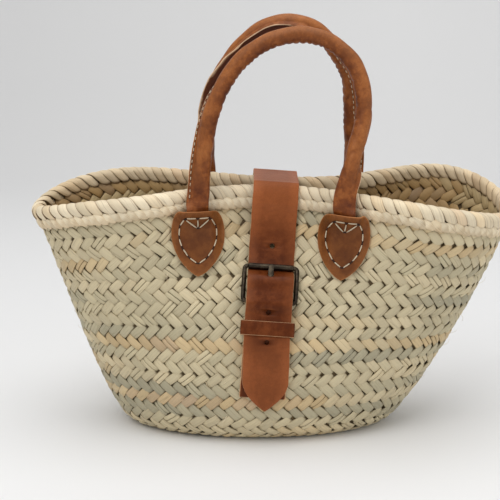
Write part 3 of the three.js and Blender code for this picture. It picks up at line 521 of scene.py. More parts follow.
class Graph:
    """Adds nodes to a tree and joins them."""

    def __init__(self, tree: bpy.types.NodeTree) -> None:
        """Keeps the tree."""
        self.tree = tree

    def feed(self, node: bpy.types.Node, values: dict[str | int, SocketValue]) -> None:
        """Links inputs of a node, or gives them values.

        Args:
            node: The node.
            values: Inputs by name or number, each with a value or another node's output.
        """
        for key, value in values.items():
            if isinstance(value, Socket):
                self.tree.links.new(value, node.inputs[key])
            else:
                node.inputs[key].default_value = value

    def node(self, kind: str, values: Optional[dict] = None, **settings: object) -> bpy.types.Node:
        """Adds a node.

        Args:
            kind: Blender's name for the kind of node.
            values: Inputs by name or number, each with a value or another node's output.
            **settings: The node's own settings.

        Returns:
            The node.
        """
        node = self.tree.nodes.new(kind)
        for key, value in settings.items():
            setattr(node, key, value)
        self.feed(node, values or {})
        return node

    def value(self, kind: str, values: Optional[dict] = None, **settings: object) -> Socket:
        """The first output of a new node."""
        return self.node(kind, values, **settings).outputs[0]

    def math(self, operation: str, a: SocketValue, b: SocketValue = 0.0, clamp: bool = False) -> Socket:
        """The result of one sum on two values."""
        return self.value("ShaderNodeMath", {0: a, 1: b}, operation=operation, use_clamp=clamp)

    def plus(self, a: SocketValue, b: SocketValue, clamp: bool = False) -> Socket:
        """Two values added up."""
        return self.math("ADD", a, b, clamp)

    def minus(self, a: SocketValue, b: SocketValue) -> Socket:
        """One value less another one."""
        return self.math("SUBTRACT", a, b)

    def times(self, a: SocketValue, b: SocketValue, clamp: bool = False) -> Socket:
        """Two values multiplied."""
        return self.math("MULTIPLY", a, b, clamp)

    def off_middle(self, value: SocketValue, share: float) -> Socket:
        """How far a value lies from a half, times a share."""
        return self.times(self.minus(value, 0.5), share)

    def blend(self, share: SocketValue, a: SocketValue, b: SocketValue, way: str = "MIX") -> Socket:
        """A colour between two colours."""
        return self.node("ShaderNodeMix", {0: share, 6: a, 7: b}, data_type="RGBA", blend_type=way).outputs[2]

    def ramp(self, value: SocketValue, low: float, high: float) -> Socket:
        """A mask that goes from 0 at low to 1 at high."""
        return self.value("ShaderNodeMapRange", {0: value, 1: low, 2: high, 3: 0.0, 4: 1.0}, clamp=True)

    def noise(self, place: SocketValue, scale: float, detail: float = 2.0, rough: float = 0.5) -> Socket:
        """Soft noise at a place."""
        values = {"Vector": place, "Scale": scale, "Detail": detail, "Roughness": rough}
        return self.value("ShaderNodeTexNoise", values)

    def cells(self, place: SocketValue, scale: float) -> Socket:
        """The distance to the edge of the nearest of many cells."""
        values = {"Vector": place, "Scale": scale}
        return self.value("ShaderNodeTexVoronoi", values, feature="DISTANCE_TO_EDGE")

    def vectors(self, operation: str, a: SocketValue, b: SocketValue) -> Socket:
        """The result of one sum on two vectors."""
        return self.value("ShaderNodeVectorMath", {0: a, 1: b}, operation=operation)

    def parts(self, place: SocketValue) -> bpy.types.NodeOutputs:
        """The three parts of a vector."""
        return self.node("ShaderNodeSeparateXYZ", {0: place}).outputs

    def carried(self, name: str) -> Socket:
        """A value that the mesh carries."""
        return self.node("ShaderNodeAttribute", attribute_name=name).outputs["Fac"]

    def strip(self) -> Socket:
        """The place on a strip, from its own UV map."""
        return self.value("ShaderNodeUVMap", uv_map="UVMap")

    def place(self) -> Socket:
        """The place on the bag, in metres."""
        return self.node("ShaderNodeTexCoord").outputs["Object"]

    def relief(self, strength: float, distance: float, height: SocketValue) -> Socket:
        """A normal that shows small heights."""
        return self.value("ShaderNodeBump", {"Strength": strength, "Distance": distance, "Height": height})


class LayingTree:
    """The node tree that lays copies of a pattern on places of a surface, each a little different."""

    SOCKETS = (
        ("Places", "NodeSocketGeometry"),
        ("Patterns", "NodeSocketCollection"),
        ("Other pattern share", FLOAT_SOCKET),
        ("Size jitter", FLOAT_SOCKET),
        ("Turn jitter", FLOAT_SOCKET),
        ("Seed", "NodeSocketInt"),
        ("Finish", "NodeSocketMaterial"),
    )
    PATTERN_SALT = 1
    TONE_SALT = 3
    TURN_SALTS = (5, 6, 7)
    SIZE_SALT = 9

    def __init__(self) -> None:
        """Builds the tree."""
        self.tree = bpy.data.node_groups.new("Laid pieces", "GeometryNodeTree")
        for name, kind in self.SOCKETS:
            self.tree.interface.new_socket(name, in_out="INPUT", socket_type=kind)
        self.tree.interface.new_socket("Result", in_out="OUTPUT", socket_type="NodeSocketGeometry")
        self.graph = Graph(self.tree)
        self.given = self.graph.node("NodeGroupInput").outputs
        patterns = {"Collection": self.given["Patterns"], "Separate Children": True, "Reset Children": True}
        laid = self.graph.value(
            "GeometryNodeInstanceOnPoints",
            {
                "Points": self.given["Places"],
                "Instance": self.graph.value("GeometryNodeCollectionInfo", patterns),
                "Pick Instance": True,
                "Instance Index": self._choice(),
                "Rotation": self._turn(),
                "Scale": self._size(),
            },
        )
        toned = self.graph.value(
            "GeometryNodeStoreNamedAttribute",
            {"Geometry": laid, "Name": "tone", "Value": self._chance(0.0, 1.0, self.TONE_SALT)},
            data_type="FLOAT",
            domain="INSTANCE",
        )
        realized = self.graph.value("GeometryNodeRealizeInstances", {"Geometry": toned})
        dressed = {"Geometry": realized, "Material": self.given["Finish"]}
        self.graph.node("NodeGroupOutput", {0: self.graph.value("GeometryNodeSetMaterial", dressed)})

    def _chance(self, low: SocketValue, high: SocketValue, salt: int) -> Socket:
        """A fixed random number for each place."""
        seed = self.graph.plus(self.given["Seed"], salt)
        values = {"Seed": seed, 2: low, 3: high}
        return self.graph.node("FunctionNodeRandomValue", values, data_type="FLOAT").outputs[1]

    def _choice(self) -> Socket:
        """The number of the pattern: the first one, or for a share of the places the second."""
        chance = self._chance(0.0, 1.0, self.PATTERN_SALT)
        return self.graph.math("LESS_THAN", chance, self.given["Other pattern share"])

    def _read(self, name: str) -> Socket:
        """A vector that each place carries."""
        return self.graph.value("GeometryNodeInputNamedAttribute", {"Name": name}, data_type="FLOAT_VECTOR")

    def _turn(self) -> Socket:
        """The turn that points Z out of the surface and X along the piece, with a little jitter."""
        align, most = "FunctionNodeAlignRotationToVector", self.given["Turn jitter"]
        risen = self.graph.value(align, {"Vector": self._read("out")}, axis="Z")
        both = {"Rotation": risen, "Vector": self._read("along")}
        aligned = self.graph.value(align, both, axis="X", pivot_axis="Z")
        least = self.graph.times(most, -1.0)
        swings = {i: self._chance(least, most, salt) for i, salt in enumerate(self.TURN_SALTS)}
        swing = self.graph.value("ShaderNodeCombineXYZ", swings)
        jittered = {"Rotation": aligned, "Rotate By": swing}
        return self.graph.value("FunctionNodeRotateRotation", jittered, rotation_space="LOCAL")

    def _size(self) -> Socket:
        """The size that each place asks for, with a little jitter."""
        jitter = self.given["Size jitter"]
        grown = self._chance(self.graph.minus(1.0, jitter), self.graph.plus(1.0, jitter), self.SIZE_SALT)
        values = {0: self._read("size"), "Scale": grown}
        return self.graph.value("ShaderNodeVectorMath", values, operation="SCALE")

    def lay(
        self,
        name: str,
        places: Places,
        patterns: Sequence[Body],
        finish: bpy.types.Material,
        other_share: float = 0.0,
        size_jitter: float = 0.0,
        turn_jitter: float = 0.0,
        seed: int = 1,
    ) -> bpy.types.Object:
        """Lays patterns on places and turns the result into a plain mesh.

        Args:
            name: The name of the piece.
            places: Where the patterns lie.
            patterns: One pattern, or two to choose between.
            finish: Their material.
            other_share: The share of the places that take the second pattern.
            size_jitter: How much the sizes vary, as a share.
            turn_jitter: How much the turns vary, in radians.
            seed: The number that fixes what is random.

        Returns:
            The piece.
        """
        shelf = bpy.data.collections.new(f"{name}_patterns")
        samples = []
        for i, body in enumerate(patterns):
            sample = bpy.data.objects.new(f"{name}_pattern_{i}", body.mesh(name))
            shelf.objects.link(sample)
            samples.append(sample)
        carrier = stand(f"{name}_places", places.mesh(name))
        modifier = carrier.modifiers.new("Laying", "NODES")
        modifier.node_group = self.tree
        chosen = {
            "Patterns": shelf,
            "Other pattern share": other_share,
            "Size jitter": size_jitter,
            "Turn jitter": turn_jitter,
            "Seed": int(seed),
            "Finish": finish,
        }
        for socket in self.tree.interface.items_tree:
            if socket.name in chosen:
                modifier[socket.identifier] = chosen[socket.name]
        mesh = bake(carrier)
        for spare in (carrier, *samples):
            bpy.data.objects.remove(spare)
        bpy.data.collections.remove(shelf)
        for helper in ("out", "along", "size"):
            mesh.attributes.remove(mesh.attributes[helper])
        return stand(name, mesh)


@dataclass
class Places:
    """Where repeated pieces lie: middles, the ways they run and face, sizes and runs of colour."""

    points: Array
    along: Array
    out: Array
    size: Array = field(default_factory=lambda: np.ones(3))
    run: Array | float = 0.0

    def values(self) -> dict[str, Array]:
        """What each place carries, by name."""
        count = len(self.points)
        size, run = np.broadcast_to(self.size, (count, 3)), np.broadcast_to(self.run, count)
        return {"along": self.along, "out": self.out, "size": size, "run": run}

    def mesh(self, name: str) -> bpy.types.Mesh:
        """The places as loose points that carry their directions, sizes and runs."""
        return Body(self.points, [], self.values()).mesh(name)

    @staticmethod
    def together(parts: Sequence[Places]) -> Places:
        """All the places of several lists."""
        rows = [(p.points, *p.values().values()) for p in parts]
        points, along, out, size, run = (np.concatenate(column) for column in zip(*rows))
        return Places(points, along, out, size, run)


# Finishes


class Effects:
    """Shader groups for leaf fibre and leather grain, which several finishes share."""

    def __init__(self) -> None:
        """Builds the groups."""
        self.fibre = self._fibre()
        self.grain = self._grain()

    @staticmethod
    def _group(
        name: str, takes: dict[str, str], gives: Sequence[str]
    ) -> tuple[Graph, bpy.types.Node, bpy.types.Node]:
        """Starts a group.

        Args:
            name: The group's name.
            takes: The kinds of its inputs by name.
            gives: The names of its outputs, which are all plain values.

        Returns:
            The graph, its input node and its output node.
        """
        tree = bpy.data.node_groups.new(name, "ShaderNodeTree")
        for key, kind in takes.items():
            tree.interface.new_socket(key, in_out="INPUT", socket_type=kind)
        for key in gives:
            tree.interface.new_socket(key, in_out="OUTPUT", socket_type=FLOAT_SOCKET)
        graph = Graph(tree)
        return graph, graph.node("NodeGroupInput"), graph.node("NodeGroupOutput")

    def _fibre(self) -> bpy.types.NodeTree:
        """Fibres that run along a strip of leaf: its UV map goes along it and across it."""
        streaks, splits = (0.55, 15.0, 1.0), (0.12, 3.4, 1.0)
        split_width, apart, rim_start = 0.016, 61.0, 0.4
        takes = {"Strip": VECTOR_SOCKET, "Chance": FLOAT_SOCKET, "Length": FLOAT_SOCKET}
        graph, given, result = self._group("Leaf fibre", takes, ("Streak", "Split", "Rim"))
        parts = graph.parts(given.outputs["Strip"])
        along = graph.times(parts[0], given.outputs["Length"])
        chance = graph.times(given.outputs["Chance"], apart)
        place = graph.value("ShaderNodeCombineXYZ", {0: along, 1: parts[1], 2: chance})
        streak = graph.noise(graph.vectors("MULTIPLY", place, streaks), 1.0, 3.0, 0.6)
        # Split and Rim are masks for painted shade: thin cracks along the fibres, and the strip's edges.
        broad = graph.noise(graph.vectors("MULTIPLY", place, splits), 1.0, 1.0, 0.4)
        crack = graph.math("ABSOLUTE", graph.minus(broad, 0.5))
        split = graph.minus(1.0, graph.ramp(crack, 0.0, split_width))
        sides = [graph.math("ABSOLUTE", graph.minus(part, 0.5)) for part in parts[:2]]
        rim = graph.ramp(graph.math("MAXIMUM", *sides), rim_start, 0.5)
        graph.feed(result, {"Streak": streak, "Split": split, "Rim": rim})
        return graph.tree

    def _grain(self) -> bpy.types.NodeTree:
        """Leather: broad mottling, fine pores and small creases."""
        broad_scale, fine_scale, bend_scale, pore_scale, crease_scale = 48.0, 210.0, 95.0, 1150.0, 170.0
        fine_share, bend, pore_width, crease_width = 0.32, 0.02, 0.28, 0.12
        gives = ("Mottle", "Pores", "Creases")
        graph, given, result = self._group("Leather grain", {"Place": VECTOR_SOCKET}, gives)
        place = given.outputs["Place"]
        broad = graph.noise(place, broad_scale, 3.0, 0.62)
        fine = graph.noise(place, fine_scale, 3.0, 0.6)
        mottle = graph.plus(graph.times(broad, 1 - fine_share), graph.times(fine, fine_share))
        bent = graph.times(graph.noise(place, bend_scale), bend)
        creases = graph.cells(graph.vectors("ADD", place, bent), crease_scale)
        values = {
            "Mottle": graph.ramp(mottle, 0.34, 0.66),
            "Pores": graph.ramp(graph.cells(place, pore_scale), 0.0, pore_width),
            "Creases": graph.ramp(creases, 0.0, crease_width),
        }
        graph.feed(result, values)
        return graph.tree


def new_material(name: str) -> tuple[bpy.types.Material, Graph, bpy.types.Node]:
    """A new material, its graph and its shader."""
    material = bpy.data.materials.new(name)
    material.use_nodes = True
    graph = Graph(material.node_tree)
    return material, graph, next(node for node in graph.tree.nodes if node.type == "BSDF_PRINCIPLED")


@dataclass(frozen=True)
class Finish:
    """What every finish has: a name, a record slot and a roughness."""

    name: str
    slot: str
    roughness: float


@dataclass(frozen=True)
class LeafFinish(Finish):
    """Palm leaf in runs of slightly different colour, with its fibres along each strip, and painted shade
    near each strip's edges, in its splits and on the inner part of a wrap.
    """

    colours: tuple[Screen, ...]
    shade: Colour
    stops: tuple[float, ...] = (0.0, 0.28, 0.55, 0.8, 1.0)
    length: float = 2.0
    relief: float = 0.35
    relief_height: float = 0.0004
    # How much painted shade, in the inside tint, darkens the inner part of a wrap, which turns into the
    # basket.
    inside: float = 0.0
    inside_shade_tint: Colour = (0.62, 0.52, 0.4, 1.0)
    # How much painted shade darkens a strip near its edges.
    outline: float = 0.45
    colour_spread: float = 0.22
    lightness: tuple[float, float] = (0.88, 0.2)
    lightness_steps: float = 7.3
    streak_tint: Colour = (1.12, 1.11, 1.08, 1.0)
    # How much painted shade darkens the splits.
    split_shade: float = 0.35
    split_depth: float = 0.6
    streak_roughness: float = 0.18

    def material(self, effects: Effects) -> bpy.types.Material:
        """Builds the material.

        Args:
            effects: The shared shader groups.

        Returns:
            The material.
        """
        material, graph, shader = new_material(self.name)
        strip, tone, run = graph.strip(), graph.carried("tone"), graph.carried("run")
        values = {"Strip": strip, "Chance": tone, "Length": self.length}
        streak, split, rim = graph.node("ShaderNodeGroup", values, node_tree=effects.fibre).outputs
        shade = graph.plus(run, graph.off_middle(tone, self.colour_spread))
        chosen = graph.node("ShaderNodeValToRGB", {0: shade})
        while len(chosen.color_ramp.elements) < len(self.colours):
            chosen.color_ramp.elements.new(0.5)
        for element, stop, shown in zip(chosen.color_ramp.elements, self.stops, self.colours):
            element.position = stop
            element.color = colour(*shown)
        leaf = graph.blend(graph.ramp(streak, 0.35, 0.75), chosen.outputs[0], self.streak_tint, "MULTIPLY")
        least, more = self.lightness
        chance = graph.math("FRACT", graph.times(tone, self.lightness_steps))
        leaf = graph.blend(1.0, leaf, graph.plus(least, graph.times(chance, more)), "MULTIPLY")
        # Painted shade near the strip's edges, where it dives under its neighbours, and along its splits.
        leaf = graph.blend(graph.times(graph.times(rim, rim), self.outline), leaf, self.shade)
        leaf = graph.blend(graph.times(split, self.split_shade), leaf, self.shade)
        # Painted shade on the inner part of a wrap, where it turns down into the basket.
        turned_in_shade = graph.times(graph.ramp(graph.parts(strip)[0], 0.42, 0.62), self.inside)
        depth = graph.minus(streak, graph.times(split, self.split_depth))
        values = {
            "Base Color": graph.blend(turned_in_shade, leaf, self.inside_shade_tint, "MULTIPLY"),
            "Roughness": graph.plus(self.roughness, graph.times(streak, self.streak_roughness)),
            "Normal": graph.relief(self.relief, self.relief_height, depth),
        }
        graph.feed(shader, values)
        return material


@dataclass(frozen=True)
class LeatherFinish(Finish):
    """Waxed saddle leather: mottled and finely lined, paler at its cut edges, darker where the mesh marks
    creases, mostly as painted shade, and lighter where the mesh marks wear and painted light.
    """

    dark: Colour
    middle: Colour
    light: Colour
    cut: Colour
    relief: float = 0.3
    relief_height: float = 0.0003
    mottling: float = 1.0
    sheen: float = 0.25
    raised: float = 0.5
    rubbed: float = 0.75
    lined: float = 0.22
    crease_darkening: float = 0.8
    pored: float = 0.18
    fray: float = 0.35
    gloss: float = 0.14
    edge_roughness: float = 0.25
    pore_depth: float = 0.5
    line_depth: float = 0.7

    def material(self, effects: Effects) -> bpy.types.Material:
        """Builds the material.

        Args:
            effects: The shared shader groups.

        Returns:
            The material.
        """
        material, graph, shader = new_material(self.name)
        grain = graph.node("ShaderNodeGroup", {"Place": graph.place()}, node_tree=effects.grain)
        mottle, pores, creases = grain.outputs
        mottle = graph.plus(0.5, graph.off_middle(mottle, self.mottling))
        edge, crease_and_shade, wear_and_light = (graph.carried(key) for key in ("edge", "crease_and_shade", "wear_and_light"))
        hide = graph.blend(graph.ramp(mottle, 0.0, 0.62), self.dark, self.middle)
        hide = graph.blend(graph.times(graph.ramp(mottle, 0.45, 1.0), self.raised), hide, self.light)
        # Lighter by the mesh's wear values: worn edges, and painted light on the upward faces of the handles
        # and the strap.
        hide = graph.blend(graph.times(wear_and_light, self.rubbed, clamp=True), hide, self.light)
        lines = graph.times(graph.minus(1.0, creases), self.lined * self.mottling)
        hide = graph.blend(lines, hide, self.dark)
        # Darker by the mesh's crease values: mostly painted shade, in wrinkles, folds, grooves, dents and
        # open seams; also the strap's edge lines.
        hide = graph.blend(graph.times(crease_and_shade, self.crease_darkening, clamp=True), hide, self.dark)
        hide = graph.blend(graph.times(graph.minus(1.0, pores), self.pored), hide, self.dark)
        frayed = graph.ramp(graph.plus(edge, graph.off_middle(mottle, self.fray)), 0.45, 0.75)
        gloss = graph.times(graph.minus(0.5, mottle), self.gloss)
        dull = graph.plus(graph.plus(self.roughness, gloss), graph.times(frayed, self.edge_roughness))
        height = graph.plus(graph.times(pores, self.pore_depth), graph.times(creases, self.line_depth))
        values = {
            "Base Color": graph.blend(frayed, hide, self.cut),
            "Roughness": dull,
            "Specular IOR Level": self.sheen,
            "Normal": graph.relief(self.relief, self.relief_height, height),
        }
        graph.feed(shader, values)
        return material


@dataclass(frozen=True)
class ThreadFinish(Finish):
    """Twisted thread or rope: slanted plies, with painted shade in the hollows between them."""

    light: Colour
    dark: Colour
    plies: float = 26.0
    slant: float = 2.0
    relief: float = 0.5
    relief_height: float = 0.0003
    hollow_roughness: float = 0.08

    def material(self, _: Effects) -> bpy.types.Material:
        """Builds the material."""
        material, graph, shader = new_material(self.name)
        parts = graph.parts(graph.strip())
        slant = graph.plus(graph.times(parts[0], self.plies), graph.times(parts[1], self.slant))
        wave = graph.math("ABSOLUTE", graph.math("SINE", graph.times(slant, math.pi)))
        # Painted shade in the hollows between the plies.
        hollow_shade = graph.minus(1.0, graph.ramp(wave, 0.1, 0.6))
        values = {
            "Base Color": graph.blend(hollow_shade, self.light, self.dark),
            "Roughness": graph.plus(self.roughness, graph.times(hollow_shade, self.hollow_roughness)),
            "Normal": graph.relief(self.relief, self.relief_height, wave),
        }
        graph.feed(shader, values)
        return material


@dataclass(frozen=True)
class MetalFinish(Finish):
    """Antique gunmetal: dark, with brighter patches and fine scratches."""

    dark: Colour
    rubbed: Colour
    patch_scale: float = 260.0
    scratches: tuple[float, float, float] = (900.0, 4200.0, 600.0)
    bright: float = 0.35
    scratch_roughness: float = 0.16
    relief: float = 0.12
    relief_height: float = 0.0002

    def material(self, _: Effects) -> bpy.types.Material:
        """Builds the material."""
        material, graph, shader = new_material(self.name)
        place = graph.place()
        patches = graph.ramp(graph.noise(place, self.patch_scale, 4.0, 0.65), 0.42, 0.66)
        fine = graph.noise(graph.vectors("MULTIPLY", place, self.scratches), 1.0)
        values = {
            "Base Color": graph.blend(graph.times(patches, self.bright), self.dark, self.rubbed),
            "Metallic": 1.0,
            "Roughness": graph.plus(self.roughness, graph.times(fine, self.scratch_roughness)),
            "Normal": graph.relief(self.relief, self.relief_height, fine),
        }
        graph.feed(shader, values)
        return material


STRAW = LeafFinish(
    name="Palm leaf",
    slot="palm_leaf",
    roughness=0.5,
    colours=((168, 160, 134), (190, 178, 146), (205, 190, 156), (200, 175, 132), (182, 158, 130)),
    shade=colour(104, 86, 58),
)
# Painted shade: the leaf of the inside is a darker, tanner copy of the outside's, for the shade inside the
# basket.
SHADED_INSIDE_STRAW = LeafFinish(
    name="Palm leaf, inside",
    slot="palm_leaf",
    roughness=0.55,
    colours=((150, 130, 92), (168, 146, 106), (180, 158, 116), (172, 140, 92), (152, 126, 94)),
    shade=colour(96, 76, 48),
)
PALE_STRAW = LeafFinish(
    name="Pale palm leaf",
    slot="pale_palm_leaf",
    roughness=0.48,
    colours=((216, 200, 168), (226, 209, 178), (232, 217, 188), (224, 202, 166), (218, 194, 164)),
    shade=colour(112, 82, 50),
    relief=0.3,
    # Painted shade on the inner part of each wrap, and strong painted shade at the wraps' edges.
    inside=0.5,
    outline=0.9,
)
# Painted shade: the dark leaf of the ground between the floats and of the roll under the wraps.
SHADED_GROUND_STRAW = LeafFinish(
    name="Shaded palm leaf",
    slot="palm_leaf",
    roughness=0.7,
    colours=((92, 76, 48), (112, 92, 60)),
    stops=(0.0, 1.0),
    shade=colour(60, 46, 26),
)
HANDLE_LEATHER = LeatherFinish(
    name="Handle leather",
    slot="leather",
    roughness=0.44,
    dark=colour(84, 36, 10),
    middle=colour(138, 74, 28),
    light=colour(192, 122, 64),
    cut=colour(230, 196, 160),
    relief=0.42,
    mottling=0.9,
)
TAB_LEATHER = LeatherFinish(
    name="Tab leather",
    slot="leather",
    roughness=0.48,
    dark=colour(80, 38, 8),
    middle=colour(122, 68, 24),
    light=colour(158, 98, 48),
    cut=colour(176, 118, 72),
    mottling=0.7,
)
STRAP_LEATHER = LeatherFinish(
    name="Strap leather",
    slot="leather",
    roughness=0.42,
    dark=colour(68, 28, 6),
    middle=colour(96, 43, 10),
    light=colour(184, 106, 60),
    cut=colour(210, 168, 126),
    relief=0.2,
    mottling=0.36,
    sheen=0.14,
)
THREAD = ThreadFinish("Waxed thread", "pale_palm_leaf", 0.6, colour(226, 212, 184), colour(150, 126, 92))
# Painted shade: dark patches that stand for the needle holes.
HOLE_SHADE = ThreadFinish("Needle hole", "leather", 0.8, colour(52, 26, 12), colour(36, 18, 8))
ROPE = ThreadFinish("Rope core", "rope", 0.85, colour(190, 164, 116), colour(120, 96, 58), plies=220.0)
GUNMETAL = MetalFinish("Antique gunmetal", "dark_metal", 0.34, colour(50, 44, 38), colour(124, 110, 90))


@dataclass
class Shop:
    """What every sub-assembly is made with: the wall, the laying tree and the finishes."""

    wall: Wall
    laying: LayingTree
    effects: Effects
    made: dict[str, bpy.types.Material] = field(default_factory=dict)
    pieces: int = 0

    def material(self, finish: Finish) -> bpy.types.Material:
        """The material of a finish, built once."""
        if finish.name not in self.made:
            self.made[finish.name] = finish.material(self.effects)
        return self.made[finish.name]

    def skin(self, name: str, body: Body, finish: Finish) -> bpy.types.Object:
        """A piece made of one body."""
        return stand(name, body.mesh(name), self.material(finish))

    def lay(
        self, name: str, places: Places, patterns: Sequence[Body], finish: Finish, **chances: float
    ) -> bpy.types.Object:
        """A piece made of patterns laid on places."""
        return self.laying.lay(name, places, patterns, self.material(finish), **chances)

    def report(self, obj: bpy.types.Object, finish: Finish, replaced: Sequence[str] = ()) -> None:
        """Hides the nodes that a piece stands for, counts the piece and logs it.

        Args:
            obj: The piece.
            finish: Its finish; not used.
            replaced: The nodes that it stands for.
        """
        if replaced:
            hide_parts(*replaced)
        self.pieces += 1
        LOG.info("%s: %d faces", obj.name, len(obj.data.polygons))

    def fix(
        self, obj: bpy.types.Object, finish: Finish, replaced: Sequence[str] = (), body: str = BAG
    ) -> None:
        """Lets a piece ride on a body of the tree, and reports it.

        Args:
            obj: The piece.
            finish: Its finish.
            replaced: The nodes that it stands for.
            body: The body that it rides on.
        """
        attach(obj, body)
        self.report(obj, finish, replaced)


# Basket


class Face(Enum):
    """The faces of the basket that the braid shows on."""

    OUTSIDE = "outside"
    INSIDE = "inside"


@dataclass
class Basket:
    """The braided body: a thin ground painted dark as the shade seen between the floats, which lie on both
    sides of it.
    """

    shop: Shop
    float_length: float = 16.0
    float_width: float = 8.0
    column_pitch: float = 11.8
    row_pitch: float = 10.5
    rows_in_braid: int = 4
    lap: float = 1.14
    crown: float = 1.4
    dive: float = 1.3
    ground: tuple[float, float] = (1.5, 3.5)
    ground_top: float = 0.99
    top: float = 0.975
    braid_shift: float = 0.31
    sunk: float = 0.35
    bulge: float = 0.5
    end_dip: float = 0.45
    base_rows: int = 5
    base_rise: tuple[float, float] = (1.2, 4.7)
    base_slant: float = 0.9
    base_flatness: float = 0.8
    least_height: float = 0.15

    def build(self) -> None:
        """Builds the ground and the braid on its outside, its inside and its base."""
        self._ground()
        for face in Face:
            self._braid(face)
        self._base()

    def _ground(self) -> None:
        """The thin shell between the floats, painted dark as the shade that falls there."""
        wall = self.shop.wall
        theta = circle(192)
        rise = np.linspace(0, 1, 46) ** 1.5 * self.ground_top
        near, deep = self.ground
        outer = [wall.seat(theta, v).at(-near) for v in rise]
        inner = [wall.seat(theta, v).at(-deep) for v in rise[::-1]]
        rings = np.stack(outer + inner)
        rings[..., 2] = np.maximum(rings[..., 2], near)
        ground = self.shop.skin("basket_ground", loft(rings).plain(0.5), SHADED_GROUND_STRAW)
        self.shop.fix(ground, SHADED_GROUND_STRAW, ["basket_body"])

    def _float(self, low: float, high: float, thick: float) -> Body:
        """One float of the braid: a crowned strip whose ends dive under its neighbours.

        Args:
            low: Where the strip begins across the float, from -0.5 to 0.5.
            high: Where it ends.
            thick: How much of the crown it has.

        Returns:
            The float.
        """
        along = np.array([-1.0, -0.86, -0.5, 0.0, 0.5, 0.86, 1.0])
        across = np.array([-1.0, -0.8, 0.0, 0.8, 1.0])
        a, b = np.meshgrid(along, across, indexing="ij")
        x = a * self.float_length / 2 * self.lap * (1 - 0.03 * np.abs(b) ** 3)
        middle, half = (low + high) / 2, (high - low) / 2
        y = (middle + b * half * (1 - 0.08 * np.abs(a) ** 6)) * self.float_width * 1.07
        overall = np.abs(y) / (self.float_width / 2)
        z = self.crown * thick * (1 - np.abs(a) ** 2.6) * (1 - 0.4 * overall**2.2)
        z = z - self.dive * np.abs(a) ** 5 - self.end_dip * np.abs(b) ** 5
        points = np.stack([x, y, z], -1).reshape(-1, 3)
        spot = np.arange(a.size).reshape(a.shape)
        corners = (spot[:-1, :-1], spot[1:, :-1], spot[1:, 1:], spot[:-1, 1:])
        faces = [tuple(int(i) for i in face) for face in zip(*(corner.ravel() for corner in corners))]
        border = np.concatenate([spot[:, 0], spot[-1, 1:], spot[-2::-1, -1], spot[0, -2:0:-1]])
        faces.append(tuple(int(i) for i in border[::-1]))
        uv = np.stack([(a + 1) / 2, middle + b * half + 0.5], -1).reshape(-1, 2)
        return Body(points, faces, {}, uv)

    def _patterns(self) -> list[Body]:
        """A whole float, and one that has split in two along its fibres."""
        whole = self._float(-0.5, 0.5, 1.0)
        split = self._float(-0.5, -0.02, 0.88).joined(self._float(0.01, 0.5, 1.0))
        return [whole, split]

    def _row_heights(self) -> Array:
        """Shares of the way up the wall of the rows' middles, evenly spaced along the wall."""
        wall = self.shop.wall
        v = np.linspace(0, self.top, 400)
        points = wall.point(circle(24)[None, :], v[:, None])
        steps = np.linalg.norm(np.diff(points, axis=0), axis=-1).mean(1)
        marks = np.concatenate([[0.0], np.cumsum(steps)])
        rows = round(marks[-1] / self.row_pitch)
        return np.interp((np.arange(rows) + 0.5) / rows * marks[-1], marks, v)

    def _braid(self, face: Face) -> None:
        """Lays the floats of one face of the wall, row by row."""
        wall = self.shop.wall
        outside = face is Face.OUTSIDE
        rng = np.random.default_rng(Seed.OUTSIDE_RUNS if outside else Seed.INSIDE_RUNS)
        heights = self._row_heights()
        sign, depth = (1.0, -self.sunk) if outside else (-1.0, self.sunk - wall.thickness)
        parts = []
        for row, v in enumerate(heights):
            braid = row // self.rows_in_braid
            middle = heights[min(braid * self.rows_in_braid + self.rows_in_braid // 2, len(heights) - 1)]
            count = round(wall.length_round(middle) / self.column_pitch)
            shares = (np.arange(count) + 0.5 * (row % 2) + self.braid_shift * braid) / count
            theta, length = wall.round_at(v, shares)
            seat = wall.seat(theta, v)
            low, high = self._edges(heights, row)
            tall = np.linalg.norm(wall.point(theta, high) - wall.point(theta, low), axis=-1)
            wide = length / count
            lean = -1.0 if row % 2 == 0 else 1.0
            run = unit(seat.along * wide + seat.up * (lean * tall)[:, None])
            reach = np.hypot(wide, tall) / self.float_length
            broad = wide * tall / np.hypot(wide, tall) / self.float_width
            size = np.stack([reach, broad, np.ones_like(reach)], -1)
            bulge = self.bulge * math.sin(math.pi * (row % self.rows_in_braid + 0.5) / self.rows_in_braid)
            middles = seat.at(depth + sign * bulge)
            parts.append(Places(middles, run, seat.out * sign, size, self._runs(rng, count)))
        braid = self.shop.lay(
            f"braid_{face.value}",
            Places.together(parts),
            self._patterns(),
            STRAW if outside else SHADED_INSIDE_STRAW,
            other_share=0.16,
            size_jitter=0.065,
            turn_jitter=0.075,
            seed=Seed.OUTSIDE_BRAID if outside else Seed.INSIDE_BRAID,
        )
        self._settle(braid)

    @staticmethod
    def _edges(heights: Array, row: int) -> tuple[float, float]:
        """The shares of the way up at the lower and upper edge of a row."""
        low = heights[row] - (heights[row] - heights[row - 1]) / 2 if row else 0.0
        last = len(heights) - 1
        high = heights[row] + (heights[min(row + 1, last)] - heights[min(row, last - 1)]) / 2
        return low, high

    @staticmethod
    def _runs(rng: np.random.Generator, count: int) -> Array:
        """Where each float of a row lies between the colours of the leaf: runs of one colour."""
        floats_in_run, spread = 7, 0.55
        knots = rng.uniform(0.0, 1.0, max(4, count // floats_in_run))
        row = rng.uniform(0.12, 0.7)
        places = np.linspace(0, len(knots), count, endpoint=False)
        waves = np.interp(places, np.arange(len(knots) + 1), np.append(knots, knots[0]))
        return np.clip(row + (waves - 0.5) * spread, 0.0, 1.0)

    def _settle(self, braid: bpy.types.Object) -> None:
        """Presses what would lie below the ground flat on it, and lets the braid ride on the bag."""
        reshape(braid.data, lambda points: np.maximum(points, [-np.inf, -np.inf, self.least_height]))
        self.shop.fix(braid, STRAW)

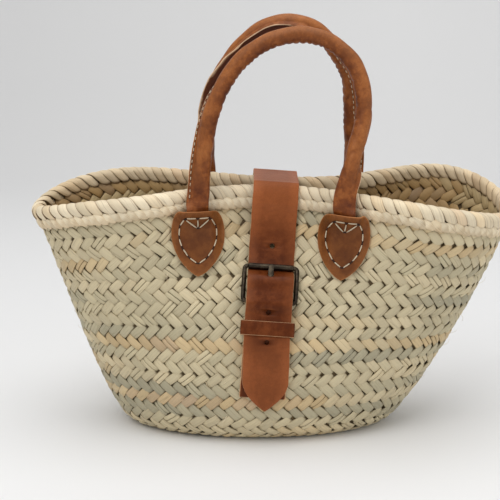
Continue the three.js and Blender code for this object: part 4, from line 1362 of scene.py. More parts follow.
    def _base(self) -> None:
        """Lays the braid of the base in oval rounds, below and inside."""
        wall = self.shop.wall
        rng = np.random.default_rng(Seed.BASE_RUNS)
        theta = np.linspace(0, 2 * math.pi, 721)
        parts = []
        for facing, rise in zip((-1.0, 1.0), self.base_rise):
            for row in range(self.base_rows):
                inset = (row + 0.45) * self.row_pitch * 0.97
                length, depth = wall.base_length / 2 - inset, max(wall.base_depth / 2 - inset, 0.5)
                marks = marks_along(np.stack([length * np.cos(theta), depth * np.sin(theta)], -1))
                count = round(marks[-1] / self.column_pitch)
                turns = np.interp((np.arange(count) + 0.5 * (row % 2)) / count * marks[-1], marks, theta)
                c, s, flat = np.cos(turns), np.sin(turns), np.zeros(count)
                ahead = unit(np.stack([-length * s, depth * c, flat], -1))
                lean = self.base_slant * (1.0 if row % 2 else -1.0)
                run = unit(ahead + np.cross(ahead, [0.0, 0.0, 1.0]) * lean)
                points = np.stack([length * c, depth * s, flat + rise], -1)
                out = np.stack([flat, flat, flat + facing], -1)
                size = np.array([1.0, 1.0, self.base_flatness])
                parts.append(Places(points, run, out, size, self._runs(rng, count)))
        braid = self.shop.lay(
            "braid_base",
            Places.together(parts),
            self._patterns(),
            STRAW,
            other_share=0.2,
            size_jitter=0.04,
            turn_jitter=0.04,
            seed=Seed.BASE_BRAID,
        )
        self._settle(braid)


# Rim


@dataclass
class Rim:
    """The overcast roll over the edge of the wall, and the twisted cord sewn on below it."""

    shop: Shop
    roll_height: float = 11.0
    roll_thickness: float = 11.5
    wrap_pitch: float = 10.2
    wrap_slant: float = 20.0
    wrap_swell: float = 1.7
    inside_drop: float = 3.5
    cord_height: float = 7.5
    cord_thickness: float = 5.0
    strand_pitch: float = 6.8
    strand_size: tuple[float, float, float] = (8.4, 4.0, 1.5)
    strand_slant: float = -0.68
    gap: float = 0.3

    def build(self) -> None:
        """Builds the core, its wraps and the cord."""
        self._core()
        self._wraps()
        self._cord()

    def _section(self, shares: Array, swell: Array | float) -> tuple[Array, Array]:
        """The roll's outline from its foot outside, over its top, to well down the inside.

        Args:
            shares: Shares of the way along the outline.
            swell: How far outside the plain outline.

        Returns:
            How far outward and how far upward each place lies.
        """
        middle = -self.shop.wall.thickness / 2
        half = self.roll_thickness / 2
        top = self.roll_height / 2
        corners = np.array(
            [
                [middle + half * 0.66, -top - 0.6],
                [middle + half * 0.93, -top * 0.3],
                [middle + half * 0.78, top * 0.48],
                [middle, top * 0.8],
                [middle - half * 0.78, top * 0.38],
                [middle - half * 0.82, -top * 0.4],
                [middle - half * 0.7, -top - 0.3 * self.inside_drop],
                [middle - half * 0.58, -top - 0.7 * self.inside_drop],
            ]
        )
        way = Way(np.column_stack([corners, np.zeros(len(corners))]))
        place, ahead = way.at(shares), way.ahead(shares)
        return place[..., 0] + ahead[..., 1] * swell, place[..., 1] - ahead[..., 0] * swell

    def _core(self) -> None:
        """The plain roll under the wraps, painted dark as the shade between them."""
        theta, _ = self.shop.wall.round_at(1.0, np.linspace(0, 1, 240, endpoint=False))
        seat = self.shop.wall.seat(theta, 1.0)
        shares = np.linspace(0, 0.8, 12)
        layers = ((shares, -0.5), (shares[::-1], -1.9))
        skin = [self._section(part, np.full(12, swell)) for part, swell in layers]
        outward, upward = np.concatenate(skin, 1)[..., None]
        rings = seat.point[:, None] + seat.out[:, None] * outward + seat.up[:, None] * upward
        core = self.shop.skin("rim_core", loft(rings, loop=True).plain(0.4), SHADED_GROUND_STRAW)
        self.shop.fix(core, PALE_STRAW)

    def _wrap(self) -> Body:
        """One wrap: a swelling band of leaf over the roll, on a slant."""
        steps, across = 16, 7
        s, b = np.meshgrid(np.linspace(0, 1, steps), np.linspace(-1, 1, across), indexing="ij")
        half = self.wrap_pitch / 2 * 1.12 * (1 - 0.5 * np.abs(2 * s - 1) ** 7)
        shift = self.wrap_slant * (0.3 - s)
        swell = self.wrap_swell * (1 - 0.9 * (np.abs(b - 0.15) / 1.15) ** 2.4)
        skins = []
        for lower in (False, True):
            outward, upward = self._section(s, swell - 0.9 if lower else swell)
            skins.append(np.stack([shift + b * half * (0.96 if lower else 1.0), outward, upward], -1))
        along, side = (np.concatenate([value, value[:, ::-1]], 1).ravel() for value in (s, (b + 1) / 2))
        body = loft(np.concatenate([skins[0], skins[1][:, ::-1]], 1) * [1.0, -1.0, 1.0])
        return body.mapped(along, side)

    def _wraps(self) -> None:
        """Lays the wraps round the mouth."""
        wall = self.shop.wall
        count = round(wall.length_round(1.0) / self.wrap_pitch)
        rng = np.random.default_rng(Seed.WRAP_PLACES)
        shares = (np.arange(count) + rng.uniform(-0.07, 0.07, count)) / count
        theta, _ = wall.round_at(1.0, shares)
        seat = wall.seat(theta, 1.0)
        size = np.stack([rng.uniform(0.96, 1.08, count), np.ones(count), np.ones(count)], -1)
        places = Places(seat.point, seat.along, seat.up, size, np.clip(rng.normal(0.5, 0.25, count), 0, 1))
        chances = {"turn_jitter": 0.03, "seed": Seed.WRAPS}
        wraps = self.shop.lay("rim_wraps", places, [self._wrap()], PALE_STRAW, **chances)
        self.shop.fix(wraps, PALE_STRAW, ["rim_roll"])

    def _strand(self) -> Body:
        """One visible fold of the cord: a flattened petal of leaf that laps over the next one."""
        steps, around, tilt, droop = 9, 10, 0.4, 0.7
        reach, wide, thick = self.strand_size
        t, turn = np.linspace(-1, 1, steps)[:, None], circle(around)
        fat = np.maximum(1 - np.abs(t) ** 1.9, 0.02) ** 0.7
        rise = fat * (thick * np.sin(turn) + tilt * np.cos(turn)) - droop * t**2
        body = loft(np.stack([np.broadcast_to(t * reach, rise.shape), fat * wide * np.cos(turn), rise], -1))
        return body.mapped(np.repeat((t + 1) / 2, around), np.tile(0.5 + 0.3 * np.cos(turn), steps))

    def _cord(self) -> None:
        """Lays the strands of the twisted cord below the roll."""
        wall = self.shop.wall
        distance = self.roll_height / 2 + self.gap + self.cord_height / 2
        height = 0.95
        count = round(wall.length_round(height) / self.strand_pitch)
        rng = np.random.default_rng(Seed.CORD_PLACES)
        theta, _ = wall.round_at(height, (np.arange(count) + rng.uniform(-0.1, 0.1, count)) / count)
        seat = wall.below_edge(theta, distance)
        along = unit(seat.along + seat.up * self.strand_slant)
        middles = seat.at(self.cord_thickness * 0.5, rng.uniform(-0.35, 0.35, count))
        run = np.clip(rng.normal(0.45, 0.1, count), 0, 1)
        places = Places(middles, along, seat.out, run=run)
        chances = {"size_jitter": 0.08, "turn_jitter": 0.08, "seed": Seed.CORD}
        cord = self.shop.lay("rim_twisted_cord", places, [self._strand()], PALE_STRAW, **chances)
        self.shop.fix(cord, PALE_STRAW, ["rim_cord"])


@dataclass
class LooseEnds:
    """Fine frayed ends of leaf that stand out of the braid here and there."""

    shop: Shop
    count: int = 90
    reach: float = 10.0
    height: float = 3.6
    width: float = 0.3

    def _strand(self) -> Body:
        """One end: a thin blade that rises out of the braid and curls over."""
        t = np.linspace(0, 1, 7)[:, None]
        middle = np.hstack([self.reach * t, 1.6 * t**2, self.height * np.sin(2.2 * t) - 0.4])
        turn, fat = circle(4), self.width * (1 - 0.75 * t)
        ring = np.stack([np.zeros(4), np.cos(turn), 0.6 * np.sin(turn)], -1)
        along = np.repeat(t[:, 0], 4)
        return loft(middle[:, None] + ring * fat[:, None]).mapped(along, np.full(len(along), 0.5))

    def build(self) -> None:
        """Scatters the ends over the outside of the wall."""
        rng = np.random.default_rng(Seed.END_PLACES)
        theta = rng.uniform(0, 2 * math.pi, self.count)
        seat = self.shop.wall.seat(theta, rng.uniform(0.12, 0.97, self.count))
        heading = rng.uniform(0, 2 * math.pi, self.count)[:, None]
        along = seat.along * np.cos(heading) + seat.up * np.sin(heading)
        size = rng.uniform(0.5, 1.25, (self.count, 1)) * [1.0, 1.0, 1.0]
        places = Places(seat.point, along, seat.out, size, rng.uniform(0.2, 0.8, self.count))
        chances = {"turn_jitter": 0.35, "seed": Seed.ENDS}
        ends = self.shop.lay("loose_ends", places, [self._strand()], PALE_STRAW, **chances)
        self.shop.fix(ends, PALE_STRAW)


# Leather


@dataclass
class Needlework:
    """Running stitches in waxed thread, with a dark patch of painted shade for the hole at both ends of each.
    """

    shop: Shop
    stitch: float = 7.4
    thread: float = 1.15
    hole: float = 1.9
    arch: float = 0.3

    @staticmethod
    def _capsule(length: float, width: float, arch: float) -> Body:
        """A short length of thread that dives into the leather at both ends."""
        t, turn = np.linspace(-1, 1, 7)[:, None], circle(8)
        fat = width / 2 * np.maximum(1 - t**4, 0.06) ** 0.5
        rise = fat * np.sin(turn) + arch * (1 - np.abs(t) ** 2.5)
        body = loft(np.stack([np.broadcast_to(t * length / 2, rise.shape), fat * np.cos(turn), rise], -1))
        along = np.repeat((t + 1) / 2, 8)
        return body.mapped(along, np.full(len(along), 0.5))

    def sew(self, name: str, starts: Array, ends: Array, out: Array, bend: Optional[Bend] = None) -> None:
        """Sews a stitch from each start to each end.

        Args:
            name: The name of the seam.
            starts: Where the stitches begin, on the leather.
            ends: Where they end.
            out: The directions out of the leather.
            bend: Called on each piece in place of fixing it on the bag. Otherwise the seam rides on the bag.
        """
        spans = ends - starts
        lengths = np.linalg.norm(spans, axis=1)
        along = unit(spans)
        out = unit(out - along * (out * along).sum(1, keepdims=True))
        size = np.stack([lengths / self.stitch, np.ones(len(spans)), np.ones(len(spans))], -1)
        stitches = Places((starts + ends) / 2, along, out, size)
        pattern = self._capsule(self.stitch, self.thread, self.arch)
        thread = self.shop.lay(name, stitches, [pattern], THREAD, turn_jitter=0.05, seed=Seed.STITCHES)
        both = Places(np.concatenate([starts, ends]), np.tile(along, (2, 1)), np.tile(out, (2, 1)))
        pattern = self._capsule(self.hole, self.hole * 0.72, 0.0)
        holes = self.shop.lay(f"{name}_holes", both, [pattern], HOLE_SHADE, seed=Seed.HOLES)
        for piece, finish in ((thread, THREAD), (holes, HOLE_SHADE)):
            if bend is None:
                self.shop.fix(piece, finish)
            else:
                bend(piece)
                self.shop.report(piece, finish)

    @staticmethod
    def running(line: Array, pitch: float, share: float) -> tuple[Array, Array]:
        """Where the stitches of a running seam start and end on a line.

        Args:
            line: The seam's line as points.
            pitch: How far apart the stitches begin.
            share: How much of the pitch a stitch covers.

        Returns:
            The starts and the ends.
        """
        marks = marks_along(line)
        count = max(1, round(marks[-1] / pitch))
        step = marks[-1] / count
        low = (np.arange(count) + (1 - share) / 2) * step
        return between(low, marks, line), between(low + share * step, marks, line)


@dataclass
class TabSeat:
    """Where one leg of a handle is sewn on: a flat piece of wall under its tab."""

    wall: Wall
    side: float
    x: float
    lean: float
    tab_width: float = 49.0
    tab_height: float = 60.0
    leather: float = 2.5
    overlap: float = 2.5
    rise: float = 8.0
    leg_width: float = 19.5
    leg_thickness: float = 4.8
    hinge_rise: float = 12.0
    cord_bottom: float = 13.3
    cord_reach: float = 5.8
    lie: float = 0.8
    gap: float = 0.3

    def __post_init__(self) -> None:
        """Finds the middle of the tab and its directions."""
        theta = self.wall.edge_angle(self.side, self.x)
        top = self.wall.below_edge(theta, self.cord_bottom - self.overlap)
        seat = self.wall.side_seat(self.side, self.x, top.at(0.0, -self.tab_height / 2)[2])
        self.middle = seat.point
        self.out = seat.out
        self.up = unit(np.array([0.0, -seat.out[2] / seat.out[1], 1.0]))
        self.across = np.cross(self.up, seat.out)
        self.low = -0.3 * self.tab_height
        self.top = self.tab_height / 2

    def place(self, a: Array, b: Array, height: Array) -> Array:
        """The place above (a, b) on the tab at a height off the wall."""
        a, b, height = np.broadcast_arrays(*(np.asarray(value, float) for value in (a, b, height)))
        flat = self.middle + self.across * a[..., None] + self.up * b[..., None]
        out = self.wall.side_seat(self.side, flat[..., 0], flat[..., 2]).out
        return self.wall.side_seat(self.side, flat[..., 0] - out[..., 0] * height, flat[..., 2]).at(height)

    def leg_leather(self, b: Array) -> Array:
        """How thick the leg's end is."""
        return mix(self.leg_thickness / 3, self.leg_thickness, smooth((b - self.low) / -self.low))

    def leg_height(self, b: Array) -> Array:
        """How high the middle of the leg lies off the wall."""
        flat = self.lie + self.leg_leather(b) / 2
        over = self.cord_reach + self.lie + self.leg_thickness / 2 + self.leg_width / 2 * abs(self.across[1])
        climb = 0.4 * self.top
        return mix(flat, over, smooth((b - climb) / (self.top - climb)))

    def tab_under(self, a: Array, b: Array) -> Array:
        """How high the inner face of the tab lies off the wall, arched over the leg."""
        over = self.leg_height(b) + self.leg_leather(b) / 2 + self.gap
        leg, tab = self.leg_width / 2, self.tab_width / 2
        sideways = 1 - smooth((np.abs(a) - leg - 2) / (tab - leg - 3))
        upward = smooth((b + 0.47 * self.tab_height) / (0.13 * self.tab_height))
        edge = self.cord_reach * smooth((b - self.top + self.rise + 2 * self.overlap) / self.rise)
        return self.lie + np.maximum(over * sideways * upward, edge)

    def pivot(self) -> Array:
        """The point of the hinge line in the middle of this leg."""
        b = self.top + self.hinge_rise
        return self.place(0.0, b, self.leg_height(b))


@dataclass
class Tab:
    """One leather tab over a leg of a handle, with its stitches."""

    shop: Shop
    seat: TabSeat
    name: str
    seam_share: float = 0.7
    seam_corner: float = 11.0
    seam_pitch: float = 9.6
    centre_share: float = 0.1
    groove: tuple[float, float] = (0.35, 0.035)
    wear_reach: float = 1.8
    faces: tuple[float, ...] = (0.945, 0.9, 0.83, 0.76, 0.73, 0.7, 0.67, 0.64, 0.56, 0.44, 0.3, 0.16, 0.04)

    def _half(self) -> Array:
        """Half the tab's outline, from its point at the bottom to the middle of its top."""
        w, h = self.seat.tab_width / 2, self.seat.tab_height / 2
        low = bezier([(0, -h), (0.45 * w, -0.88 * h), (w, -0.35 * h), (w, 0.25 * h)], 30)
        high = bezier([(w, 0.25 * h), (w, 0.68 * h), (0.82 * w, 0.97 * h), (0.6 * w, h)], 16)
        return evenly(np.vstack([low, high, [(0.6 * w, h), (0, 0.98 * h)]]), 41)

    def _leaned(self, points: Array) -> Array:
        """Turns points of the tab by its lean."""
        return np.stack(turned(*points.T, -self.seat.lean), -1)

    def build(self) -> None:
        """Builds the leather and sews it on."""
        half = self._half()
        outline = np.vstack([half, half[-2:0:-1] * [-1, 1]])
        centre, thick = self._centre(), self.seat.leather
        profile = [(0.04, 0.0, 0), (0.5, 0.0, 0), (0.96, 0.0, 1), (0.995, 0.3, 1), (1.0, 0.5 * thick, 1)]
        profile += [(0.995, 0.86 * thick, 1), (0.975, 0.97 * thick, 0)]
        profile += [(share, thick, 0) for share in self.faces]
        rings, values = [], {"edge": [], "wear_and_light": [], "crease_and_shade": []}
        for share, height, cut in profile:
            spots = centre + (outline - centre) * share
            upper = height > thick / 2
            groove = self.groove[0] * hump(share - self.seam_share, self.groove[1]) * upper
            rings.append(self._surface(*self._leaned(spots).T, height - groove))
            values["edge"].append(np.full(len(spots), float(cut)))
            # Lighter towards the tab's edges. Darker towards its middle inside the seam, with painted shade
            # in the stitch groove.
            inset = np.linalg.norm(outline - spots, axis=1) * 0.94
            values["wear_and_light"].append(np.exp(-inset / self.wear_reach) * upper)
            middle = 0.35 * smooth((self.seam_share - share) / 0.3)
            values["crease_and_shade"].append(np.full(len(spots), (middle + 0.9 * groove) * upper))
        body = loft(np.stack(rings), values={key: np.stack(rows) for key, rows in values.items()})
        leather = self.shop.skin(f"{self.name}_tab_leather", body, TAB_LEATHER)
        self.shop.fix(leather, TAB_LEATHER, [f"{self.name}_tab"])
        self._sew(half)

    def _centre(self) -> Array:
        """The place that the tab's rings close in on."""
        return np.array([0.0, self.centre_share * self.seat.tab_height])

    def _surface(self, a: Array, b: Array, height: Array | float) -> Array:
        """The tab at a height above its inner face."""
        return self.seat.place(a, b, self.seat.tab_under(a, b) + height)

    def _sew(self, half: Array) -> None:
        """Sews the tab on: round its edge, along its top, and a small arrow below it."""
        inner = self._centre() + (half - self._centre()) * self.seam_share
        top, corner = inner[-1, 1], self.seam_corner
        inner = inner[(inner[:, 1] < top - 3.0)]
        starts, ends = Needlework.running(np.vstack([inner, (corner, top)]), self.seam_pitch, 0.8)
        rows = [np.hstack([starts, ends]), np.hstack([starts * [-1, 1], ends * [-1, 1]])]
        for side in (-1, 1):
            rows.append([[side * 0.8, top, side * (corner - 0.8), top + 0.3]])
            rows.append([[side * (corner - 0.6), top - 1.0, side * 0.9, top - 10.0]])
        rows.append([[0.0, top - 1.2, 0.0, top - 9.2]])
        spans = np.vstack(rows)
        starts, ends = self._leaned(spans[:, :2]), self._leaned(spans[:, 2:])
        rise = self.seat.leather - 0.1
        low, high = self._surface(*starts.T, rise), self._surface(*ends.T, rise)
        Needlework(self.shop).sew(f"{self.name}_tab_stitches", low, high, self._facing((starts + ends) / 2))

    def _facing(self, spots: Array) -> Array:
        """The directions out of the tab's own surface."""
        d, thick = 0.8, self.seat.leather
        a, b = spots.T
        across = self._surface(a + d, b, thick) - self._surface(a - d, b, thick)
        return unit(np.cross(across, self._surface(a, b + d, thick) - self._surface(a, b - d, thick)))


@dataclass
class Handle:
    """One rolled handle on its rope core, with a seam that stands out of the roll."""

    shop: Shop
    name: str
    side: float
    legs: tuple[float, float]
    way: Sequence[tuple[float, float]]
    apex_y: float
    seam_turns: Sequence[tuple[float, float]]
    seed: int
    seam_open: Sequence[tuple[float, float]] = ((0, 0), (1, 0))
    sewn: tuple[float, float] = (0.0, 1.0)
    raw: Sequence[tuple[float, float]] = ((0, 1), (1, 1))
    leans: tuple[float, float] = (0.0, 4.5)
    diameter: float = 14.5
    sleeve: float = 2.3
    flange: float = 4.0
    flange_thickness: float = 3.6
    flat_length: float = 26.0
    stations: int = 300
    neck: float = 7.0
    seam_pitch: float = 4.9
    seam_inset: float = 2.8
    stitch_share: float = 0.34
    rope_lay: float = 34.0
    rope_clearance: float = 1.2
    folds: Sequence[tuple[float, float]] = (
        (0.10, 7), (0.16, -6), (0.79, 9), (0.84, -8), (0.89, 7), (0.93, -6),
    )  # fmt: skip
    fold_width: float = 2.4
    fold_depth: float = 0.45
    fold_shade: float = 0.28

    def __post_init__(self) -> None:
        """Finds the two legs' places and the handle's line."""
        wall = self.shop.wall
        self.seats = [
            TabSeat(wall, self.side, x, math.radians(-self.side * lean))
            for x, lean in zip(self.legs, self.leans)
        ]
        self.left, self.right = (seat.pivot() for seat in self.seats)
        self.hinge = unit(self.right - self.left)
        apex_z = wall.rim_height + max(rise for _, rise in self.way)
        knots = [self.left]
        for i, (x, rise) in enumerate(self.way):
            z = wall.rim_height + rise
            foot = self.left if i < len(self.way) / 2 else self.right
            knots.append(np.array([x, mix(foot[1], self.apex_y, (z - foot[2]) / (apex_z - foot[2])), z]))
        self.line = Way([*knots, self.right])

    def build(self) -> None:
        """Builds the tabs, the leather, its seam and the rope inside."""
        for seat, place in zip(self.seats, ("left", "right")):
            Tab(self.shop, seat, f"{self.name}_{place}").build()
        self._leather()
        self._seam()
        self._rope()

    def _hinged(self, obj: bpy.types.Object) -> None:
        """Bakes a piece's transform into its mesh."""
        up = unit(np.cross(self.hinge, [0.0, 1.0, 0.0]))
        up = up * math.copysign(1.0, up[2])
        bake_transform(obj)

    def _seam_angle(self, shares: Array) -> Array:
        """The angle of the seam round the roll: 0 is inwards, 90 degrees is backwards."""
        places, turns = np.array(self.seam_turns).T
        spot = np.clip(np.searchsorted(places, shares, side="left"), 1, len(places) - 1)
        eased = smooth((shares - places[spot - 1]) / (places[spot] - places[spot - 1]))
        return np.radians(mix(turns[spot - 1], turns[spot], eased))

    def _roundness(self, shares: Array) -> Array:
        """0 where the leg is flat and 1 where it is round."""
        return smooth(np.minimum(shares, 1 - shares) * self.line.length / self.flat_length)

    def _axes(self, shares: Array) -> tuple[Array, Array, Array]:
        """The line's points and the two directions across it."""
        point, ahead = self.line.at(shares), self.line.ahead(shares)
        inward = unit(np.cross(Y_AXIS, ahead))
        flat = self.hinge * np.where(shares < 0.5, 1.0, -1.0)[:, None]
        inward = unit(mix(inward, flat, (1 - self._roundness(shares))[:, None]))
        return point, inward, unit(np.cross(ahead, inward))

    @staticmethod
    def _along(table: Sequence[tuple[float, float]], shares: Array) -> Array:
        """The value of a short table of shares and values at each share."""
        places, values = np.array(table, float).T
        return np.interp(shares, places, values)

    def _outline(self, shares: Array) -> tuple[Array, Array, Array]:
        """The roll's section with its seam at angle 0, at each share of the line.

        Args:
            shares: Shares of the line.

        Returns:
            The sections' points, how far each is a cut edge, and how much painted shade it takes in the open
            seam.
        """
        r, t = self.diameter / 2, self.flange_thickness / 2
        tip = r + self.flange
        shut = [(r - 0.6, t + 0.9), (r + 0.9, t), (tip - 0.8, t), (tip, t * 0.75), (tip, t * 0.2)]
        gape = [(r - 0.8, 5.5), (r + 0.5, 5.4), (tip - 1.4, 5.2), (tip - 0.9, 4.8), (tip - 1.3, 4.0)]
        raw, open_raw = [0.0, 0.0, 0.35, 1.0, 1.0], [0.0, 0.0, 0.5, 1.0, 0.55]
        sections, cuts = [], []
        for half, root, pale, root_pale in ((shut, tip - 0.7, raw, 0.6), (gape, r - 3.4, open_raw, 0.0)):
            sections.append(np.array([(x, -y) for x, y in half] + [(root, 0.0)] + half[::-1]))
            cuts.append(np.array(pale + [root_pale] + pale[::-1]))
        opened = self._along(self.seam_open, shares)
        start = mix(0.42, 0.66, opened)[:, None]
        turn = mix(start, 2 * math.pi - start, np.linspace(0, 1, 31))
        roll = np.stack([r * np.cos(turn), r * np.sin(turn)], -1)
        seam = mix(*sections, opened[:, None, None])
        edge = np.zeros((len(shares), seam.shape[1] + roll.shape[1]))
        edge[:, : seam.shape[1]] = mix(*cuts, opened[:, None])
        edge *= self._along(self.raw, shares)[:, None]
        # Painted shade down the root of the open seam, inside the roll where light does not reach.
        dark = np.zeros_like(edge)
        middle = seam.shape[1] // 2
        dark[:, middle - 1 : middle + 2] = opened[:, None] * [0.9, 1.6, 0.9]
        return np.concatenate([seam, roll], 1), edge, dark

    @staticmethod
    def _flat(turn: Array, width: Array | float, thickness: Array | float) -> tuple[Array, Array]:
        """The section of a flat strip, by the angle of each point."""

        def squared(value: Array) -> Array:
            """A value pushed out towards a square corner."""
            return np.sign(value) * np.abs(value) ** 0.45

        return width / 2 * squared(np.cos(turn)), thickness / 2 * squared(np.sin(turn))

    def _wrinkles(self, shares: Array, turn: Array) -> tuple[Array, Array]:
        """How the leather is drawn in by its wrinkles, and how much painted shade each place takes in their
        creases.

        Args:
            shares: Shares of the line.
            turn: Angles round the roll at each share, 0 on the inside of the bend.

        Returns:
            The height to add and the painted shade in the creases, for each share and angle.
        """
        rng = np.random.default_rng(self.seed)
        length = self.line.length
        marks = shares[:, None] * length
        height, crease_and_shade = np.zeros_like(turn), np.zeros_like(turn)
        inner = np.maximum(np.cos(turn), 0.0) ** 1.3
        place = 0.2 * length
        while place < 0.86 * length:
            slant = rng.uniform(-2.5, 2.5)
            deep = rng.uniform(0.45, 1.15) * smooth((0.5 - abs(place / length - 0.52)) / 0.3)
            fold = hump(marks - place - slant * np.sin(turn), rng.uniform(0.9, 1.7)) * inner
            height -= deep * fold
            # Painted shade in the wrinkle's crease.
            crease_and_shade += 0.5 * deep * fold
            place += rng.uniform(4.5, 9.5)
        for centre, tilt in self.folds:
            fold = hump(marks - centre * length - tilt * np.sin(turn + 0.7), self.fold_width)
            height -= self.fold_depth * fold
            crease_and_shade += self.fold_shade * fold
        waves = 0.2 * np.sin(marks / 9.0 + 1.7 * np.sin(turn)) + 0.15 * np.sin(marks / 4.1 + 2.0 * turn + 1.0)
        return height + waves, np.clip(crease_and_shade, 0.0, 1.0)

    def _leather(self) -> None:
        """The strip of leather: a flat leg end, the roll, and the other leg end."""
        shares = np.linspace(0, 1, self.stations)
        outline, edges, dark = self._outline(shares)
        point, inward, backward = self._axes(shares)
        seam, roundness = self._seam_angle(shares), self._roundness(shares)[:, None]
        p, q = turned(outline[..., 0], outline[..., 1], seam[:, None])
        turn = np.arctan2(q, p)
        heights, creases = self._wrinkles(shares, turn)
        scale = 1 + heights * (edges < 0.1) * roundness / np.hypot(p, q)
        flat_p, flat_q = self._flat(turn, self.seats[0].leg_width, self.seats[0].leg_thickness)
        p = mix(flat_p, p * scale, roundness)
        q = mix(flat_q, q * scale, roundness)
        outer = point[:, None] + inward[:, None] * p[..., None] + backward[:, None] * q[..., None]
        left, right = self._leg(0, turn[0]), self._leg(1, turn[-1])[::-1]
        still = np.zeros(left.shape[:2])
        # Painted light: the roll is lighter where it faces up and on one upper flank; its crease values are
        # painted shade in the wrinkles and the open seam.
        upward = np.maximum(unit(outer - point[:, None])[..., 2], 0)
        wear_and_light = (0.3 * np.maximum(np.sin(turn - 2.2), 0) + 0.5 * upward**1.5) * roundness
        values = {
            "edge": np.vstack([still + edges[0], edges, still + edges[-1]]),
            "crease_and_shade": np.vstack([still, np.maximum(creases, dark), still]),
            "wear_and_light": np.vstack([still, wear_and_light, still]),
        }
        body = loft(np.concatenate([left, outer, right]), values=values)
        leather = self.shop.skin(f"{self.name}_handle_leather", body, HANDLE_LEATHER)
        self._hinged(leather)
        nodes = [f"{self.name}_handle_sleeve", f"{self.name}_left_leg_end", f"{self.name}_right_leg_end"]
        self.shop.report(leather, HANDLE_LEATHER, nodes)

    def _leg(self, end: int, turn: Array) -> Array:
        """The flat leg below the hinge line, from its low end up.

        Args:
            end: 0 for the left leg and 1 for the right one.
            turn: The angle of each point of the section.

        Returns:
            The rings of the leg.
        """
        seat = self.seats[end]
        pivot = (self.left, self.right)[end]
        rise = unit(np.cross(seat.out, self.hinge))
        rise = rise * math.copysign(1.0, rise[2])
        out = unit(np.cross(self.hinge, rise))
        out = out * math.copysign(1.0, float(out @ seat.out))
        top = seat.top + seat.hinge_rise
        _, inward, backward = self._axes(np.array([0.0, 1.0]))
        rings = []
        for b in np.linspace(seat.low, top, 26, endpoint=False):
            thick = float(seat.leg_leather(b))
            p, q = self._flat(turn, seat.leg_width, thick)
            offset = inward[end] * p[:, None] + backward[end] * q[:, None]
            a = offset @ self.hinge * -seat.side
            h = offset @ out
            lying = seat.place(a, b, seat.leg_height(b) + h)
            facing = pivot + self.hinge * (offset @ self.hinge)[:, None] + out * h[:, None] - rise * (top - b)
            share = smooth((b - seat.top - seat.lie) / (seat.hinge_rise * 0.55))
            rings.append(mix(lying, facing, share))
        return np.stack(rings)

    def _seam(self) -> None:
        """The stitches that close the seam, on both of its sides."""
        count = round(self.line.length / self.seam_pitch)
        marks = (np.arange(count) + 0.5) / count
        low, high = self.sewn
        marks = marks[(self._along(self.seam_open, marks) < 0.25) & (marks > low) & (marks < high)]
        half = self.stitch_share * self.seam_pitch / self.line.length
        needle = Needlework(self.shop, stitch=3.4, thread=0.85, hole=1.1)
        for face, label in ((-1.0, "a"), (1.0, "b")):
            ends = [self._seam_points(marks + shift, face) for shift in (-half, half)]
            _, inward, backward = self._axes(marks)
            seam = self._seam_angle(marks)[:, None]
            square = (-inward * np.sin(seam) + backward * np.cos(seam)) * face
            flat_out = backward * np.sign((square * backward).sum(1, keepdims=True) + 1e-9)
            out = unit(mix(flat_out, square, self._roundness(marks)[:, None]))
            needle.sew(f"{self.name}_handle_seam_{label}", *ends, out, self._hinged)

    def _seam_points(self, shares: Array, face: float) -> Array:
        """Points of the seam's stitch line on one side of its flange."""
        shares = np.clip(shares, 0, 1)
        point, inward, backward = self._axes(shares)
        seam = self._seam_angle(shares)
        p, q = turned(self.diameter / 2 + self.flange * 0.5, face * self.flange_thickness / 2, seam)
        leg = self.seats[0]
        flat_p = np.sign(np.cos(seam)) * (leg.leg_width / 2 - self.seam_inset)
        flat_q = np.where(face * np.cos(seam) >= 0, 1.0, -1.0) * leg.leg_thickness / 2
        roundness = self._roundness(shares)
        p, q = mix(flat_p, p, roundness), mix(flat_q, q, roundness)
        return point + inward * p[:, None] + backward * q[:, None]

    def _rope(self) -> None:
        """The rope core: three strands laid round each other."""
        radius = (self.diameter / 2 - self.sleeve - self.rope_clearance) / 2.16
        low = self.flat_length * 0.85 / self.line.length
        shares = np.linspace(low, 1 - low, 150)
        point, inward, backward = self._axes(shares)
        turn = circle(8)
        c, s = np.cos(turn)[:, None], np.sin(turn)[:, None]
        ring = inward[:, None] * c + backward[:, None] * s
        along, side = np.repeat(shares, 8), np.tile(turn / 6.3, len(shares))
        strands = []
        for strand in range(3):
            lay = 2 * math.pi * (shares * self.line.length / self.rope_lay + strand / 3)[:, None]
            middle = point + (inward * np.cos(lay) + backward * np.sin(lay)) * radius * 1.12
            strands.append(loft(middle[:, None] + ring * radius).mapped(along, side, (low, 1 - low), 0.0))
        first, second, third = strands
        rope = self.shop.skin(f"{self.name}_handle_rope", first.joined(second).joined(third), ROPE)
        self.shop.fix(rope, ROPE, [f"{self.name}_handle_core"], f"{self.name}_handle")


# Closure


